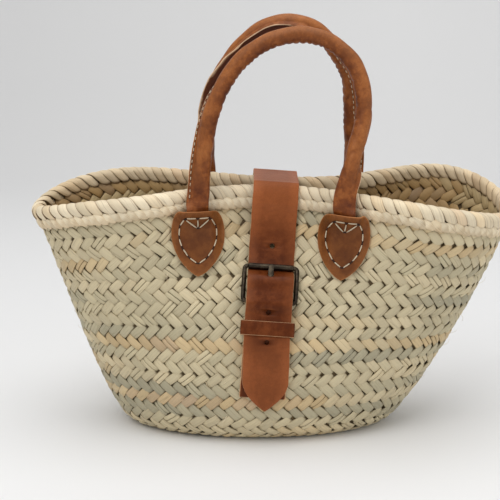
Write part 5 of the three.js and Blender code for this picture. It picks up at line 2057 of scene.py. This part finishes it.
@dataclass
class Closure:
    """The closing strap, the anchor strap, the keeper and the roller buckle.

    They are drawn in the strap's own plane: u across the strap, y as on the bag, and w up the strap.
    """

    shop: Shop
    width: float = 40.0
    leather: float = 2.8
    foot_x: float = 0.3
    tilt: float = math.radians(4)
    tail_turn: float = math.radians(2.4)
    end_back: float = 152.0
    tip: float = 36.0
    point_length: float = 27.0
    point_power: float = 1.9
    flex: float = 100.3
    hole: float = 4.6
    hole_heights: tuple[float, float, float] = (174.0, 124.0, 96.8)
    prong_slot: float = 10.5
    slot_place: float = 0.74
    anchor_width: float = 40.0
    anchor_leather: float = 2.2
    anchor_end: float = 47.0
    anchor_flap: float = 91.0
    anchor_free: float = 22.0
    keeper_height: float = 107.8
    keeper_width: float = 12.5
    keeper_travel: float = 4.0
    keeper_inner: float = 43.0
    keeper_leather: float = 1.8
    heel_height: float = 128.0
    pitch: float = 31.5
    bar: float = 4.2
    roller: float = 5.4
    prong_width: float = 4.4
    prong_thickness: float = 2.4
    prong_play: float = math.radians(3)
    tip_past: float = 1.6
    tip_drop: float = 0.12
    crown: float = 0.25
    hole_lip: float = 0.3
    hole_dent: float = 0.35
    # How much lighter the strap is over the rim's top, as painted light from above, and down its free tail.
    rim_painted_light: tuple[float, float, float] = (0.72, 54.0, 58.0)
    tail_lightening: tuple[float, float] = (0.46, 40.0)
    bend_reach: tuple[float, float] = (1.0, 9.0)
    back_box: tuple[float, float, float] = (3.5, 21.0, 4.0)
    weld: float = 0.02
    facet_round: float = 0.35
    roll_height: float = 11.0
    roll_thickness: float = 11.5
    cord_height: float = 7.5
    cord_reach: float = 5.8
    gap: float = 0.3
    lie: float = 0.8

    def __post_init__(self) -> None:
        """Finds the layers' heights off the wall and the buckle's plane."""
        half = self.anchor_leather / 2
        self.inner_layer = self.lie + self.keeper_leather + self.gap + half
        self.heel_centre = self.inner_layer + half + self.gap + self.bar / 2
        self.outer_layer = self.inner_layer + self.anchor_leather + self.gap
        self.tail_layer = self.outer_layer + half + 2 * self.gap + self.leather / 2
        self.through_layer = self.lie + self.leather / 2
        roller_centre = self.through_layer + self.leather / 2 + self.gap + self.roller / 2
        self.heel = self.off_wall(FRONT, self.heel_height, self.heel_centre)
        guess = self.off_wall(FRONT, self.heel_height + self.pitch * 0.93, roller_centre)
        self.buckle_up = unit(guess - self.heel)
        self.buckle_out = np.array([0.0, -self.buckle_up[2], self.buckle_up[1]])
        self.fold = self.bar / 2 + self.gap + half
        self.over_fold = half + self.gap + self.leather / 2
        self.flex_point = self.off_wall(FRONT, self.flex, self.tail_layer)
        self.reach = self.keeper_height + self.keeper_width / 2 + self.keeper_travel

    def on_bag(self, points: Array) -> Array:
        """Points of the strap's plane as points of the bag."""
        u, y, w = np.moveaxis(points, -1, 0)
        x, z = turned(u, w, -self.tilt)
        return np.stack([self.foot_x + x, y, z], -1)

    def wall_y(self, side: float, w: float) -> float:
        """The wall's y under the strap: where its width stands out furthest."""
        across = np.linspace(-1, 1, 5) * self.width / 2
        places = self.on_bag(np.stack([across, np.zeros(5), np.full(5, w)], -1))
        y = self.shop.wall.side_seat(side, places[:, 0], places[:, 2]).point[:, 1]
        return float(side * np.max(side * y))

    def off_wall(self, side: float, w: float, height: float) -> Array:
        """A point of the strap's plane at a height off the wall."""
        slope = (self.wall_y(side, w + 1) - self.wall_y(side, w - 1)) / 2
        out = unit(np.array([0.0, 1.0, -slope])) * side
        return np.array([0.0, self.wall_y(side, w), w]) + out * height

    def in_buckle(self, up: float, out: float) -> Array:
        """A point of the buckle's plane, measured from its heel bar."""
        return self.heel + self.buckle_up * up + self.buckle_out * out

    def rim_w(self, side: float) -> float:
        """The highest place of the wall's edge under the strap."""
        wall = self.shop.wall
        middle = self.foot_x + wall.rim_height * math.tan(self.tilt)
        x = np.arange(middle - self.width * 0.75, middle + self.width * 0.75, 0.5)
        edge = wall.point(wall.edge_angle(side, x), 1.0)
        u, w = turned(edge[:, 0] - self.foot_x, edge[:, 2], self.tilt)
        return float(w[np.abs(u) <= self.width / 2].max())

    def over_rim(self, side: float) -> list[Array]:
        """The strap's way over one edge of the mouth."""
        half = self.leather / 2
        beside = self.cord_reach + self.lie + half
        rim = self.rim_w(side)
        edge = self.off_wall(side, rim, -self.shop.wall.thickness / 2)
        crest = self.roll_height / 2 + self.gap + half
        cord_top = -self.roll_height / 2 - self.gap

        def past(outward: float, upward: float) -> Array:
            """A point past the edge."""
            return edge + np.array([0.0, side * outward, upward])

        return [
            self.off_wall(side, rim + cord_top - self.cord_height - 6, beside - 1),
            self.off_wall(side, rim + cord_top - self.cord_height / 2, beside + 0.6),
            past(self.roll_thickness / 2 + self.lie + half + 1.4, 1),
            past(self.roll_thickness / 2 - 0.6, crest),
            past(-2, crest + 0.2),
        ]

    def shank(self, up: float) -> float:
        """How high the middle of the prong's shank lies in the buckle."""
        low = self.bar / 2 + self.gap + self.prong_thickness * 0.8 - self.prong_thickness / 2
        high = self.roller / 2 + self.gap + self.prong_thickness / 2
        return mix(low, high, up / self.pitch)

    def over_shank(self, up: float) -> float:
        """How high the strap lies over the prong's shank."""
        room = self.prong_thickness / 2 + self.gap + self.leather / 2
        return max(self.fold + self.over_fold, self.shank(up) + room) + (up + 2) * math.tan(self.prong_play)

    def layer(self, w: float, low: float, high: float) -> Array:
        """A layer that rises from one height off the wall to another between the keeper and the heel bar."""
        rise = smooth((w - self.reach) / (self.heel_height - 1 - self.reach))
        return self.off_wall(FRONT, w, mix(low, high, rise))

    def _climb(self) -> list[float]:
        """Heights between the keeper's reach and the heel bar, from the top down."""
        return [mix(self.reach, self.heel_height - 1, share) for share in (0.85, 0.6, 0.3, 0.0)]

    def _strap_way(self) -> Way:
        """The middle line of the closing strap, from its sewn end to where its tail bends."""
        half = self.leather / 2
        dive = self.roller / 2 + self.gap + half
        hole = self.slot_place * self.pitch
        cross = self.shank(hole)
        over = self.heel_centre + self.fold + self.over_fold + 0.7
        return Way(
            [
                self.off_wall(BACK, self.end_back, self.lie + half),
                self.off_wall(BACK, self.end_back + 16, self.lie + half + 0.4),
                self.off_wall(BACK, self.end_back + 32, self.lie + half + 1.6),
                *self.over_rim(BACK),
                *reversed(self.over_rim(FRONT)),
                self.off_wall(FRONT, self.heel_height + self.pitch + 20, self.through_layer + 1.2),
                self.in_buckle(self.pitch + 7, -dive - 0.3),
                self.in_buckle(self.pitch + 1, -dive - 0.1),
                self.in_buckle(self.pitch - 2.4, -dive + 0.5),
                self.in_buckle(hole + 2.9, cross - 4),
                self.in_buckle(hole, cross),
                self.in_buckle(hole - 2.6, cross + 2.9),
                self.in_buckle(hole - 6, self.over_shank(hole - 6) + 0.3),
                self.in_buckle(hole - 14, self.over_shank(hole - 14)),
                self.in_buckle(2, self.over_shank(2) + 0.3),
                *[self.layer(w, self.tail_layer, over) for w in self._climb()],
                self.off_wall(FRONT, self.keeper_height, self.tail_layer),
                self.flex_point,
            ]
        )

    def _anchor_way(self) -> Way:
        """The middle line of the anchor strap: up the wall, round the heel bar, and down again."""
        half = self.anchor_leather / 2
        turns = [math.pi * i / 6 for i in range(1, 6)]
        return Way(
            [
                self.off_wall(FRONT, self.anchor_end, self.lie + half),
                self.off_wall(FRONT, self.anchor_flap - self.anchor_free, self.lie + half),
                self.off_wall(FRONT, self.anchor_flap, self.lie + half),
                self.off_wall(FRONT, self.keeper_height - self.keeper_width / 2 - 1, self.inner_layer),
                self.off_wall(FRONT, self.keeper_height + self.keeper_width / 2, self.inner_layer),
                self.in_buckle(-4, -self.fold),
                *[self.in_buckle(self.fold * math.sin(t), -self.fold * math.cos(t)) for t in turns],
                *[self.layer(w, self.outer_layer, self.heel_centre + self.fold) for w in self._climb()],
                self.off_wall(FRONT, self.keeper_height - self.keeper_width / 2, self.outer_layer),
                self.off_wall(FRONT, self.anchor_flap + 5, self.lie + 3 * half + self.gap + 0.8),
                self.off_wall(FRONT, self.anchor_flap, self.lie + 3 * half + self.gap),
            ]
        )

    @staticmethod
    def _section(leather: float) -> tuple[Array, Array, Array]:
        """A strap's section: shares of its width, heights, and how far each is a cut edge."""
        side = [(1.0, -0.28, 1.0), (1.0, 0.28, 1.0), (0.995, 0.42, 0.9), (0.972, 0.5, 0.55)]
        shares = (0.93, 0.87, 0.7, 0.45, 0.3, 0.25, 0.22, 0.19, 0.16, 0.13, 0.1, 0.05)
        top = [(share, 0.5, 0.0) for share in shares]
        under = [(0.0, -0.5, 0.0), (0.5, -0.5, 0.0), (0.975, -0.5, 0.0), (0.995, -0.42, 0.6)]
        half = np.array(under + side + top)
        mirrored = half[:0:-1] * [-1, 1, 1]
        full = np.vstack([half, [(0.0, 0.5, 0.0)], mirrored])
        return full[:, 0], full[:, 1] * leather, full[:, 2]

    def _strip(
        self,
        middles: Array,
        aheads: Array,
        across: Array,
        widths: Array,
        leather: float,
        punched: Sequence[tuple[Array, float]] = (),
        lightening: Array | float = 0.0,
    ) -> Body:
        """A strip of leather along a line, with rounded cut edges.

        Args:
            middles: The line's points.
            aheads: Its directions.
            across: The directions of the strip's width.
            widths: Its width at each point.
            leather: How thick it is.
            punched: The middles of its holes and how long each is.
            lightening: How much the leather is lightened at each point.

        Returns:
            The strip, on the bag.
        """
        thick = unit(np.cross(across, aheads))
        share, height, cut = self._section(leather)
        step, upper = np.arange(len(middles)), height > 0
        wave = (0.12 * np.sin(step * 0.21) + 0.08 * np.sin(step * 0.57)) * (widths > 0.9 * widths.max())
        half = (widths / 2)[:, None] * share + np.sign(share) * wave[:, None]
        crown = self.crown * (1 - share**2) * upper
        lift = thick[:, None] * (height + crown)[:, None]
        rings = middles[:, None] + across[:, None] * half[..., None] + lift
        every = np.ones((len(middles), 1))
        edge = every * cut
        edge[[0, -1]] = np.maximum(edge[[0, -1]], 0.8)
        # Lighter towards the cut edges, by the given lightening and on the holes' raised lips; darker in the
        # dents round the holes and along a line near each edge.
        wear_and_light = every * np.exp(-(1 - np.abs(share)) / 0.05) * 0.6 + np.reshape(lightening, (-1, 1))
        crease_and_shade = every * 0.3 * hump(np.abs(share) - 0.88, 0.02) * upper
        lip, dent = self.hole_lip, self.hole_dent
        for middle, length in punched:
            off = rings - middle
            ahead = unit(aheads[int(np.argmin(np.linalg.norm(middles - middle, axis=1)))])
            beyond = np.maximum(np.abs(off @ ahead) - max(length - self.hole, 0.0) / 2, 0.0)
            rim = np.hypot(beyond, off[..., 0]) - self.hole / 2
            press = lip * hump(rim - 1.1, 0.5) - dent * hump(rim, 0.7)
            press = press * (np.linalg.norm(off, axis=-1) < 3 * self.hole)
            rings = rings + thick[:, None] * (press * np.sign(height))[..., None]
            wear_and_light = wear_and_light + 0.2 * np.maximum(press, 0) / lip
            crease_and_shade = np.maximum(crease_and_shade, 0.5 * np.clip(-press / dent, 0, 1))
        return loft(self.on_bag(rings), values={"edge": edge, "wear_and_light": wear_and_light, "crease_and_shade": crease_and_shade})

    def _strap(self) -> None:
        """The closing strap with its holes, its prong slot and its pointed tail."""
        way = self._strap_way()
        shares = np.linspace(0, 1, 230)
        middles, aheads = way.at(shares), way.ahead(shares)
        under = self.lie + self.anchor_leather + 2 * self.gap
        tail = unit(self.off_wall(FRONT, self.anchor_flap - 30, under + self.leather / 2) - self.flex_point)
        thick = unit(np.cross(X_AXIS, tail))
        down = self._spun(tail, thick, -self.tail_turn)
        across = unit(np.cross(down, thick))
        length = (self.flex_point[2] - self.tip) / -down[2]
        straight = 1 - self.point_length / length
        even, pointed = np.linspace(0, straight, 28)[1:], np.linspace(0, 0.995, 26)[1:]
        along = np.concatenate([even, mix(straight, 1, pointed)])
        narrowed = np.clip((along - straight) / (1 - straight), 0, 1)
        widths = self.width * np.concatenate([np.ones(len(shares)), 1 - narrowed**self.point_power])
        tail_middles = self.flex_point + down * (along * length)[:, None]
        settle = smooth(along * length / self.bend_reach[1])[:, None]
        tail_across = unit(mix(X_AXIS, across, settle))
        tail_ahead = unit(mix(aheads[-1], down, settle))
        hole = self.slot_place * self.pitch
        front = shares[len(shares) // 2 :]
        w = way.at(front)[:, 2]
        slot_w = self.in_buckle(hole, self.shank(hole))[2]
        upper, middle, lower = self.hole_heights
        holes = []
        for height, slot in ((upper, 0.0), (slot_w, self.prong_slot), (middle, 0.0)):
            share = front[int(np.argmin(np.abs(w - height)))]
            holes.append((way.at(share), way.ahead(share), X_AXIS, slot))
        holes.append((self.flex_point + down * (self.flex - lower) / -down[2], down, across, 0.0))
        line = np.vstack([middles, tail_middles])
        # Painted light: the strap is lighter where it goes over the rim, where light from above falls on its
        # top. Below the keeper the free tail is lighter too.
        most, below, rise = self.rim_painted_light
        over_top = most * smooth((line[:, 2] - self.rim_w(FRONT) + below) / rise)
        most, fall = self.tail_lightening
        down_tail = most * smooth((self.reach - line[:, 2]) / fall) * (line[:, 1] < 0)
        body = self._strip(
            line,
            np.vstack([aheads, tail_ahead]),
            np.vstack([np.tile(X_AXIS, (len(shares), 1)), tail_across]),
            widths,
            self.leather,
            [(hole[0], hole[3]) for hole in holes],
            over_top + down_tail,
        )
        strap = self.shop.skin("closing_strap_leather", body, STRAP_LEATHER)
        self._punched(strap, [self._punch(*hole) for hole in holes])
        bend = self.on_bag(self.flex_point)
        fall = self.on_bag(self.flex_point + tail) - bend
        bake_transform(strap)
        self.shop.report(strap, STRAP_LEATHER, ["closing_strap", "strap_tip"])

    @staticmethod
    def _spun(vector: Array, axis: Array, angle: float) -> Array:
        """A vector turned about an axis that is square to it."""
        return vector * math.cos(angle) + np.cross(axis, vector) * math.sin(angle)

    def _punch(self, middle: Array, ahead: Array, across: Array, slot: float) -> Body:
        """A cutter for a round hole, or for a slot of a given length along the strap."""
        out = unit(np.cross(across, ahead))
        turn, radius = circle(24), self.hole / 2
        stretch = max(slot / 2 - radius, 0.0) * np.sign(np.sin(turn))
        wide = 1.22 if slot else 1.0
        aside, along = radius * wide * np.cos(turn), radius * np.sin(turn) + stretch
        ring = across * aside[:, None] + ahead * along[:, None]
        deep = 3 * self.leather
        return loft(self.on_bag(np.stack([middle + ring - out * deep, middle + ring + out * deep])))

    @staticmethod
    def _punched(obj: bpy.types.Object, cutters: Sequence[Body]) -> None:
        """Cuts holes into a piece and keeps the result as its mesh."""
        spares = [stand(f"cutter_{i}", cutter.mesh("cutter")) for i, cutter in enumerate(cutters)]
        for spare in spares:
            modifier = obj.modifiers.new("Punch", "BOOLEAN")
            modifier.operation = "DIFFERENCE"
            modifier.object = spare
        bake(obj)
        for spare in spares:
            bpy.data.objects.remove(spare)

    def _anchor(self) -> None:
        """The anchor strap with the opening for the prong's eye."""
        way = self._anchor_way()
        shares = np.linspace(0, 1, 150)
        widths = np.full(len(shares), self.anchor_width)
        across = np.tile(X_AXIS, (len(shares), 1))
        body = self._strip(way.at(shares), way.ahead(shares), across, widths, self.anchor_leather)
        anchor = self.shop.skin("anchor_strap_leather", body, STRAP_LEATHER)
        eye = self.bar / 2 + self.gap + self.prong_thickness * 0.8
        half = self.prong_width / 2 + 4 * self.gap
        corners = ((-half, -2 * eye), (half, -2 * eye), (half, 2 * eye), (-half, 2 * eye))
        ring = np.array([self.in_buckle(1 + up, 0) + X_AXIS * u for u, up in corners])
        deep = self.buckle_out * 3 * eye
        self._punched(anchor, [loft(self.on_bag(np.stack([ring - deep, ring + deep])))])
        self.shop.fix(anchor, STRAP_LEATHER, ["anchor_strap"])

    def _keeper(self) -> None:
        """The keeper: a loop of leather with rounded edges."""
        low, high = self.lie, self.tail_layer + self.leather / 2 + 2 * self.gap + self.keeper_leather
        half = self.keeper_inner / 2 + self.keeper_leather
        radius = 2.4
        loop = []
        corners = ((half, high, 0.0), (-half, high, 0.5), (-half, low, 1.0), (half, low, 1.5))
        for x, y, start in corners:
            middle = (x - math.copysign(radius, x), y - math.copysign(radius, y - (low + high) / 2))
            for t in np.linspace(0, 0.5, 7):
                turn = math.pi * (start + t)
                loop.append((middle[0], middle[1], math.cos(turn), math.sin(turn)))
        loop = self._filled(np.array(loop), radius)
        thick, wide = self.keeper_leather, self.keeper_width / 2
        side = [(0.0, 0.9, 0.0), (-0.1, 0.97, 0.7), (-0.5 * thick, 1.0, 1.0)]
        side += [(-0.95 * thick, 0.97, 0.7), (-thick, 0.9, 0.0)]
        other = [(depth, -rise, raw) for depth, rise, raw in side[::-1]]
        profile = [*side, (-thick, 0.0, 0.0), *other, (0.12, 0.0, 0.0)]
        bottom = self.off_wall(FRONT, self.keeper_height - wide, 0)
        up = unit(self.off_wall(FRONT, self.keeper_height + wide, 0) - bottom)
        out = np.cross(X_AXIS, up)
        middle = bottom + up * wide
        depth, rise, cut = np.array(profile).T[..., None]
        x, y, c, s = loop.T[..., None, None]
        aside, outward = x + c * (radius + depth), y + s * (radius + depth)
        rings = middle - X_AXIS * aside + out * outward + up * rise * wide
        values = {"edge": np.tile(cut[:, 0], (len(loop), 1)), "wear_and_light": np.zeros(rings.shape[:2])}
        values["crease_and_shade"] = values["wear_and_light"]
        keeper = self.shop.skin("keeper_leather", loft(self.on_bag(rings), True, values), STRAP_LEATHER)
        self.shop.fix(keeper, STRAP_LEATHER, ["strap_keeper"], "strap_keeper")

    @staticmethod
    def _filled(loop: Array, radius: float) -> Array:
        """Adds places along the straight stretches of a loop, so that its surface stays even."""
        filled = []
        for i, here in enumerate(loop):
            there = loop[(i + 1) % len(loop)]
            filled.append(here)
            gap = np.hypot(*(there[:2] - here[:2]))
            if gap > radius:
                for share in np.linspace(0, 1, max(2, int(gap / 3)), endpoint=False)[1:]:
                    filled.append(np.concatenate([mix(here[:2], there[:2], share), here[2:]]))
        return np.array(filled)

    def _metal(self, nodes: dict[str, bpy.types.Object]) -> None:
        """The buckle's frame, roller and prong, with their facets rounded off."""
        for node, body in (("buckle_frame", BAG), ("buckle_roller",) * 2, ("buckle_prong",) * 2):
            metal = stand(f"{node}_metal", nodes[node].data.copy(), self.shop.material(GUNMETAL))
            metal.modifiers.new("Weld", "WELD").merge_threshold = self.weld * MM
            if node == "buckle_frame":
                round_off = metal.modifiers.new("Round", "SUBSURF")
                round_off.levels = round_off.render_levels = 2
            else:
                round_off = metal.modifiers.new("Round", "BEVEL")
                round_off.width = self.facet_round * MM
                round_off.segments = 3
                round_off.angle_limit = math.radians(35)
            mesh = bake(metal)
            if node == "buckle_prong":
                reshape(mesh, self._shortened)
            mesh.shade_smooth()
            self.shop.fix(metal, GUNMETAL, [node], body)

    def _shortened(self, points: Array) -> Array:
        """Ends the prong's tip just past the middle of the roller, bent down a little."""
        heel = self.on_bag(self.heel)
        up = self.on_bag(self.heel + self.buckle_up) - heel
        out = self.on_bag(self.heel + self.buckle_out) - heel
        past = np.maximum((points - heel) @ up - self.pitch, 0.0)
        kept = self.tip_past * (1 - np.exp(-past / self.tip_past))
        return points + up * (kept - past)[:, None] - out * (self.tip_drop * kept**2)[:, None]

    def _back_stitches(self) -> None:
        """The stitched box that holds the strap's end on the back wall."""
        low, high, inset = self.back_box
        low, high, half = self.end_back + low, self.end_back + high, self.width / 2 - inset
        box = np.array([(-half, low), (half, low), (half, high), (-half, high), (-half, low)])
        sides = [evenly(box[i : i + 2], 12) for i in range(4)]
        runs = [Needlework.running(side, 5.6, 0.7) for side in sides]
        starts, ends = (np.vstack([run[i] for run in runs]) for i in (0, 1))

        way = self._strap_way()
        shares = np.linspace(0, 0.3, 200)
        line, ahead = way.at(shares), way.ahead(shares)

        def on(spots: Array, lift: float) -> Array:
            """Points on the strap's outer face."""
            index = np.array([int(np.argmin(np.abs(line[:, 2] - w))) for w in spots[:, 1]])
            thick = unit(np.cross(X_AXIS, ahead[index]))
            thick = thick * np.sign(thick[:, 1:2])
            return self.on_bag(line[index] + X_AXIS * spots[:, :1] + thick * lift)

        lift = self.leather / 2 + 0.12
        out = unit(on((starts + ends) / 2, lift + 1) - on((starts + ends) / 2, lift))
        needle = Needlework(self.shop, stitch=3.9, thread=1.0, hole=1.5)
        needle.sew("strap_end_stitches", on(starts, lift), on(ends, lift), out)

    def build(self, nodes: dict[str, bpy.types.Object]) -> None:
        """Builds the leather and the metal of the closure.

        Args:
            nodes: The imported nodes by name.
        """
        self._strap()
        self._anchor()
        self._keeper()
        self._metal(nodes)
        self._back_stitches()


# Studio


@dataclass(frozen=True)
class Studio:
    """A pale sweep of paper, soft lamps and the camera at the photograph's angle."""

    elevation: float = 14.0
    distance: float = 1150.0
    target: tuple[float, float, float] = (-7.0, 0.0, 161.0)
    lens: float = 91.08
    sensor: float = 36.0
    ambient: float = 0.5
    lit_place: tuple[float, float, float] = (0.0, 0.0, 120.0)
    lamps: tuple[tuple[str, tuple[float, float, float], float, float], ...] = (
        ("key", (-800.0, -1200.0, 1800.0), 1.4, 13.0),
        ("fill", (1500.0, -1100.0, 1000.0), 1.6, 5.0),
        ("top", (100.0, 0.0, 2000.0), 1.6, 18.0),
    )
    floor: Colour = colour(236, 236, 236)
    # Painted light: the backdrop is greyer than the floor, and lighter towards its right side, as the light
    # falls off.
    backdrop: Colour = colour(219, 219, 219)
    painted_lit_side: Colour = colour(229, 229, 229)

    def build(self) -> None:
        """Sets the stage, the lamps, the world and the camera."""
        self._sweep()
        self._lamps()
        self._camera()
        bpy.context.scene.view_settings.view_transform = "Standard"

    def _sweep(self) -> None:
        """The floor that curves up into a backdrop behind the bag."""
        radius, back, half = 700.0, 1100.0, 3200.0
        turn = np.linspace(0, math.pi / 2, 16)
        y = np.concatenate([[-3000.0, -1000.0, -200.0], back + radius * np.sin(turn), [back + radius]])
        z = np.concatenate([[0.0, 0.0, 0.0], radius - radius * np.cos(turn), [3200.0]])
        points = np.array([[x, yy, zz] for yy, zz in zip(y, z) for x in (-half, half)])
        faces = [(2 * i, 2 * i + 1, 2 * i + 3, 2 * i + 2) for i in range(len(y) - 1)]
        material, graph, shader = new_material("Paper sweep")
        # Painted light falloff: from the floor to the greyer backdrop, and lighter to the right.
        parts = graph.parts(graph.place())
        far = graph.ramp(parts[1], 0.1, 1.5)
        wall = graph.blend(graph.ramp(parts[0], -0.5, 0.3), self.backdrop, self.painted_lit_side)
        graph.feed(shader, {"Base Color": graph.blend(far, self.floor, wall), "Roughness": 0.8})
        stand("paper_sweep", Body(points, faces).mesh("paper_sweep"), material)

    def _lamps(self) -> None:
        """One large soft key from the upper left, a fill from the right, and an even world."""
        for name, place, size, power in self.lamps:
            lamp = bpy.data.lights.new(name, "AREA")
            lamp.size = size
            lamp.energy = power
            self._aim(name, lamp, Vector(place) * MM, Vector(self.lit_place) * MM)
        world = bpy.data.worlds.new("Studio")
        world.use_nodes = True
        background = next(node for node in world.node_tree.nodes if node.type == "BACKGROUND")
        Graph(world.node_tree).feed(background, {"Color": WHITE, "Strength": self.ambient})
        bpy.context.scene.world = world

    @staticmethod
    def _aim(name: str, data: bpy.types.ID, place: Vector, aim: Vector) -> bpy.types.Object:
        """Puts a lamp or a camera at a place and turns it to another one, both in metres."""
        obj = bpy.data.objects.new(name, data)
        obj.location = place
        obj.rotation_mode = "QUATERNION"
        obj.rotation_quaternion = (aim - place).to_track_quat("-Z", "Y")
        bpy.context.scene.collection.objects.link(obj)
        return obj

    def _camera(self) -> None:
        """The camera, level with the photograph's."""
        tilt = math.radians(self.elevation)
        target = Vector(self.target) * MM
        back = Vector((0.0, -math.cos(tilt), math.sin(tilt))) * self.distance * MM
        data = bpy.data.cameras.new("camera")
        data.lens = self.lens
        data.sensor_width = self.sensor
        bpy.context.scene.camera = self._aim("camera", data, target + back, target)


def handles(shop: Shop) -> list[Handle]:
    """The front and the back handle, each as [x, height above the rim] between its two hinge points."""
    front_way = [
        (-48.9, 20), (-45.8, 43), (-42, 66), (-33, 90), (-19, 112), (-4.9, 124.8), (12.6, 134.3), (35, 138.4),
        (53.8, 135.5), (66.7, 129), (81.8, 113.5), (89.5, 90.5), (89.3, 68), (83.4, 45), (77.5, 23),
        (74.3, 8),
    ]  # fmt: skip
    back_way = [
        (-47.8, 24), (-44.6, 66), (-40, 85), (-30.4, 103), (-11.5, 127.5), (6.4, 141), (26, 145.4),
        (42.7, 143.2), (58, 134.5), (81, 100.5), (85, 81), (86.3, 54.6), (87.8, 28),
    ]  # fmt: skip
    front_seam = [(0, 180), (0.05, 175), (0.22, 135), (0.35, 90), (0.85, 90), (0.96, 180), (1, 180)]
    back_seam = [
        (0, -180), (0.1, -152), (0.17, -124), (0.26, -110), (0.32, -96), (0.38, -74), (0.44, -64),
        (0.52, -62), (0.62, -84), (0.8, -112), (1, -180),
    ]  # fmt: skip
    back_open = [(0, 0), (0.1, 0), (0.18, 1), (0.48, 1), (0.57, 0), (1, 0)]
    back_raw = [(0, 1), (0.48, 1), (0.56, 0.3), (1, 0.3)]
    front = (front_way, -25.0, front_seam, Seed.FRONT_WRINKLES)
    back = (back_way, 31.0, back_seam, Seed.BACK_WRINKLES)
    return [
        Handle(shop, "front", FRONT, (-52.3, 73.5), *front, sewn=(0.0, 0.9)),
        Handle(shop, "back", BACK, (-49.0, 90.0), *back, seam_open=back_open, raw=back_raw),
    ]


def main() -> None:
    """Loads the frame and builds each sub-assembly."""
    logging.basicConfig(level=logging.INFO, format="%(message)s")
    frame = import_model()
    shop = Shop(Wall(), LayingTree(), Effects())
    Studio().build()
    Basket(shop).build()
    Rim(shop).build()
    LooseEnds(shop).build()
    for handle in handles(shop):
        handle.build()
    Closure(shop).build(frame["nodes"])


if __name__ == "__main__":
    main()
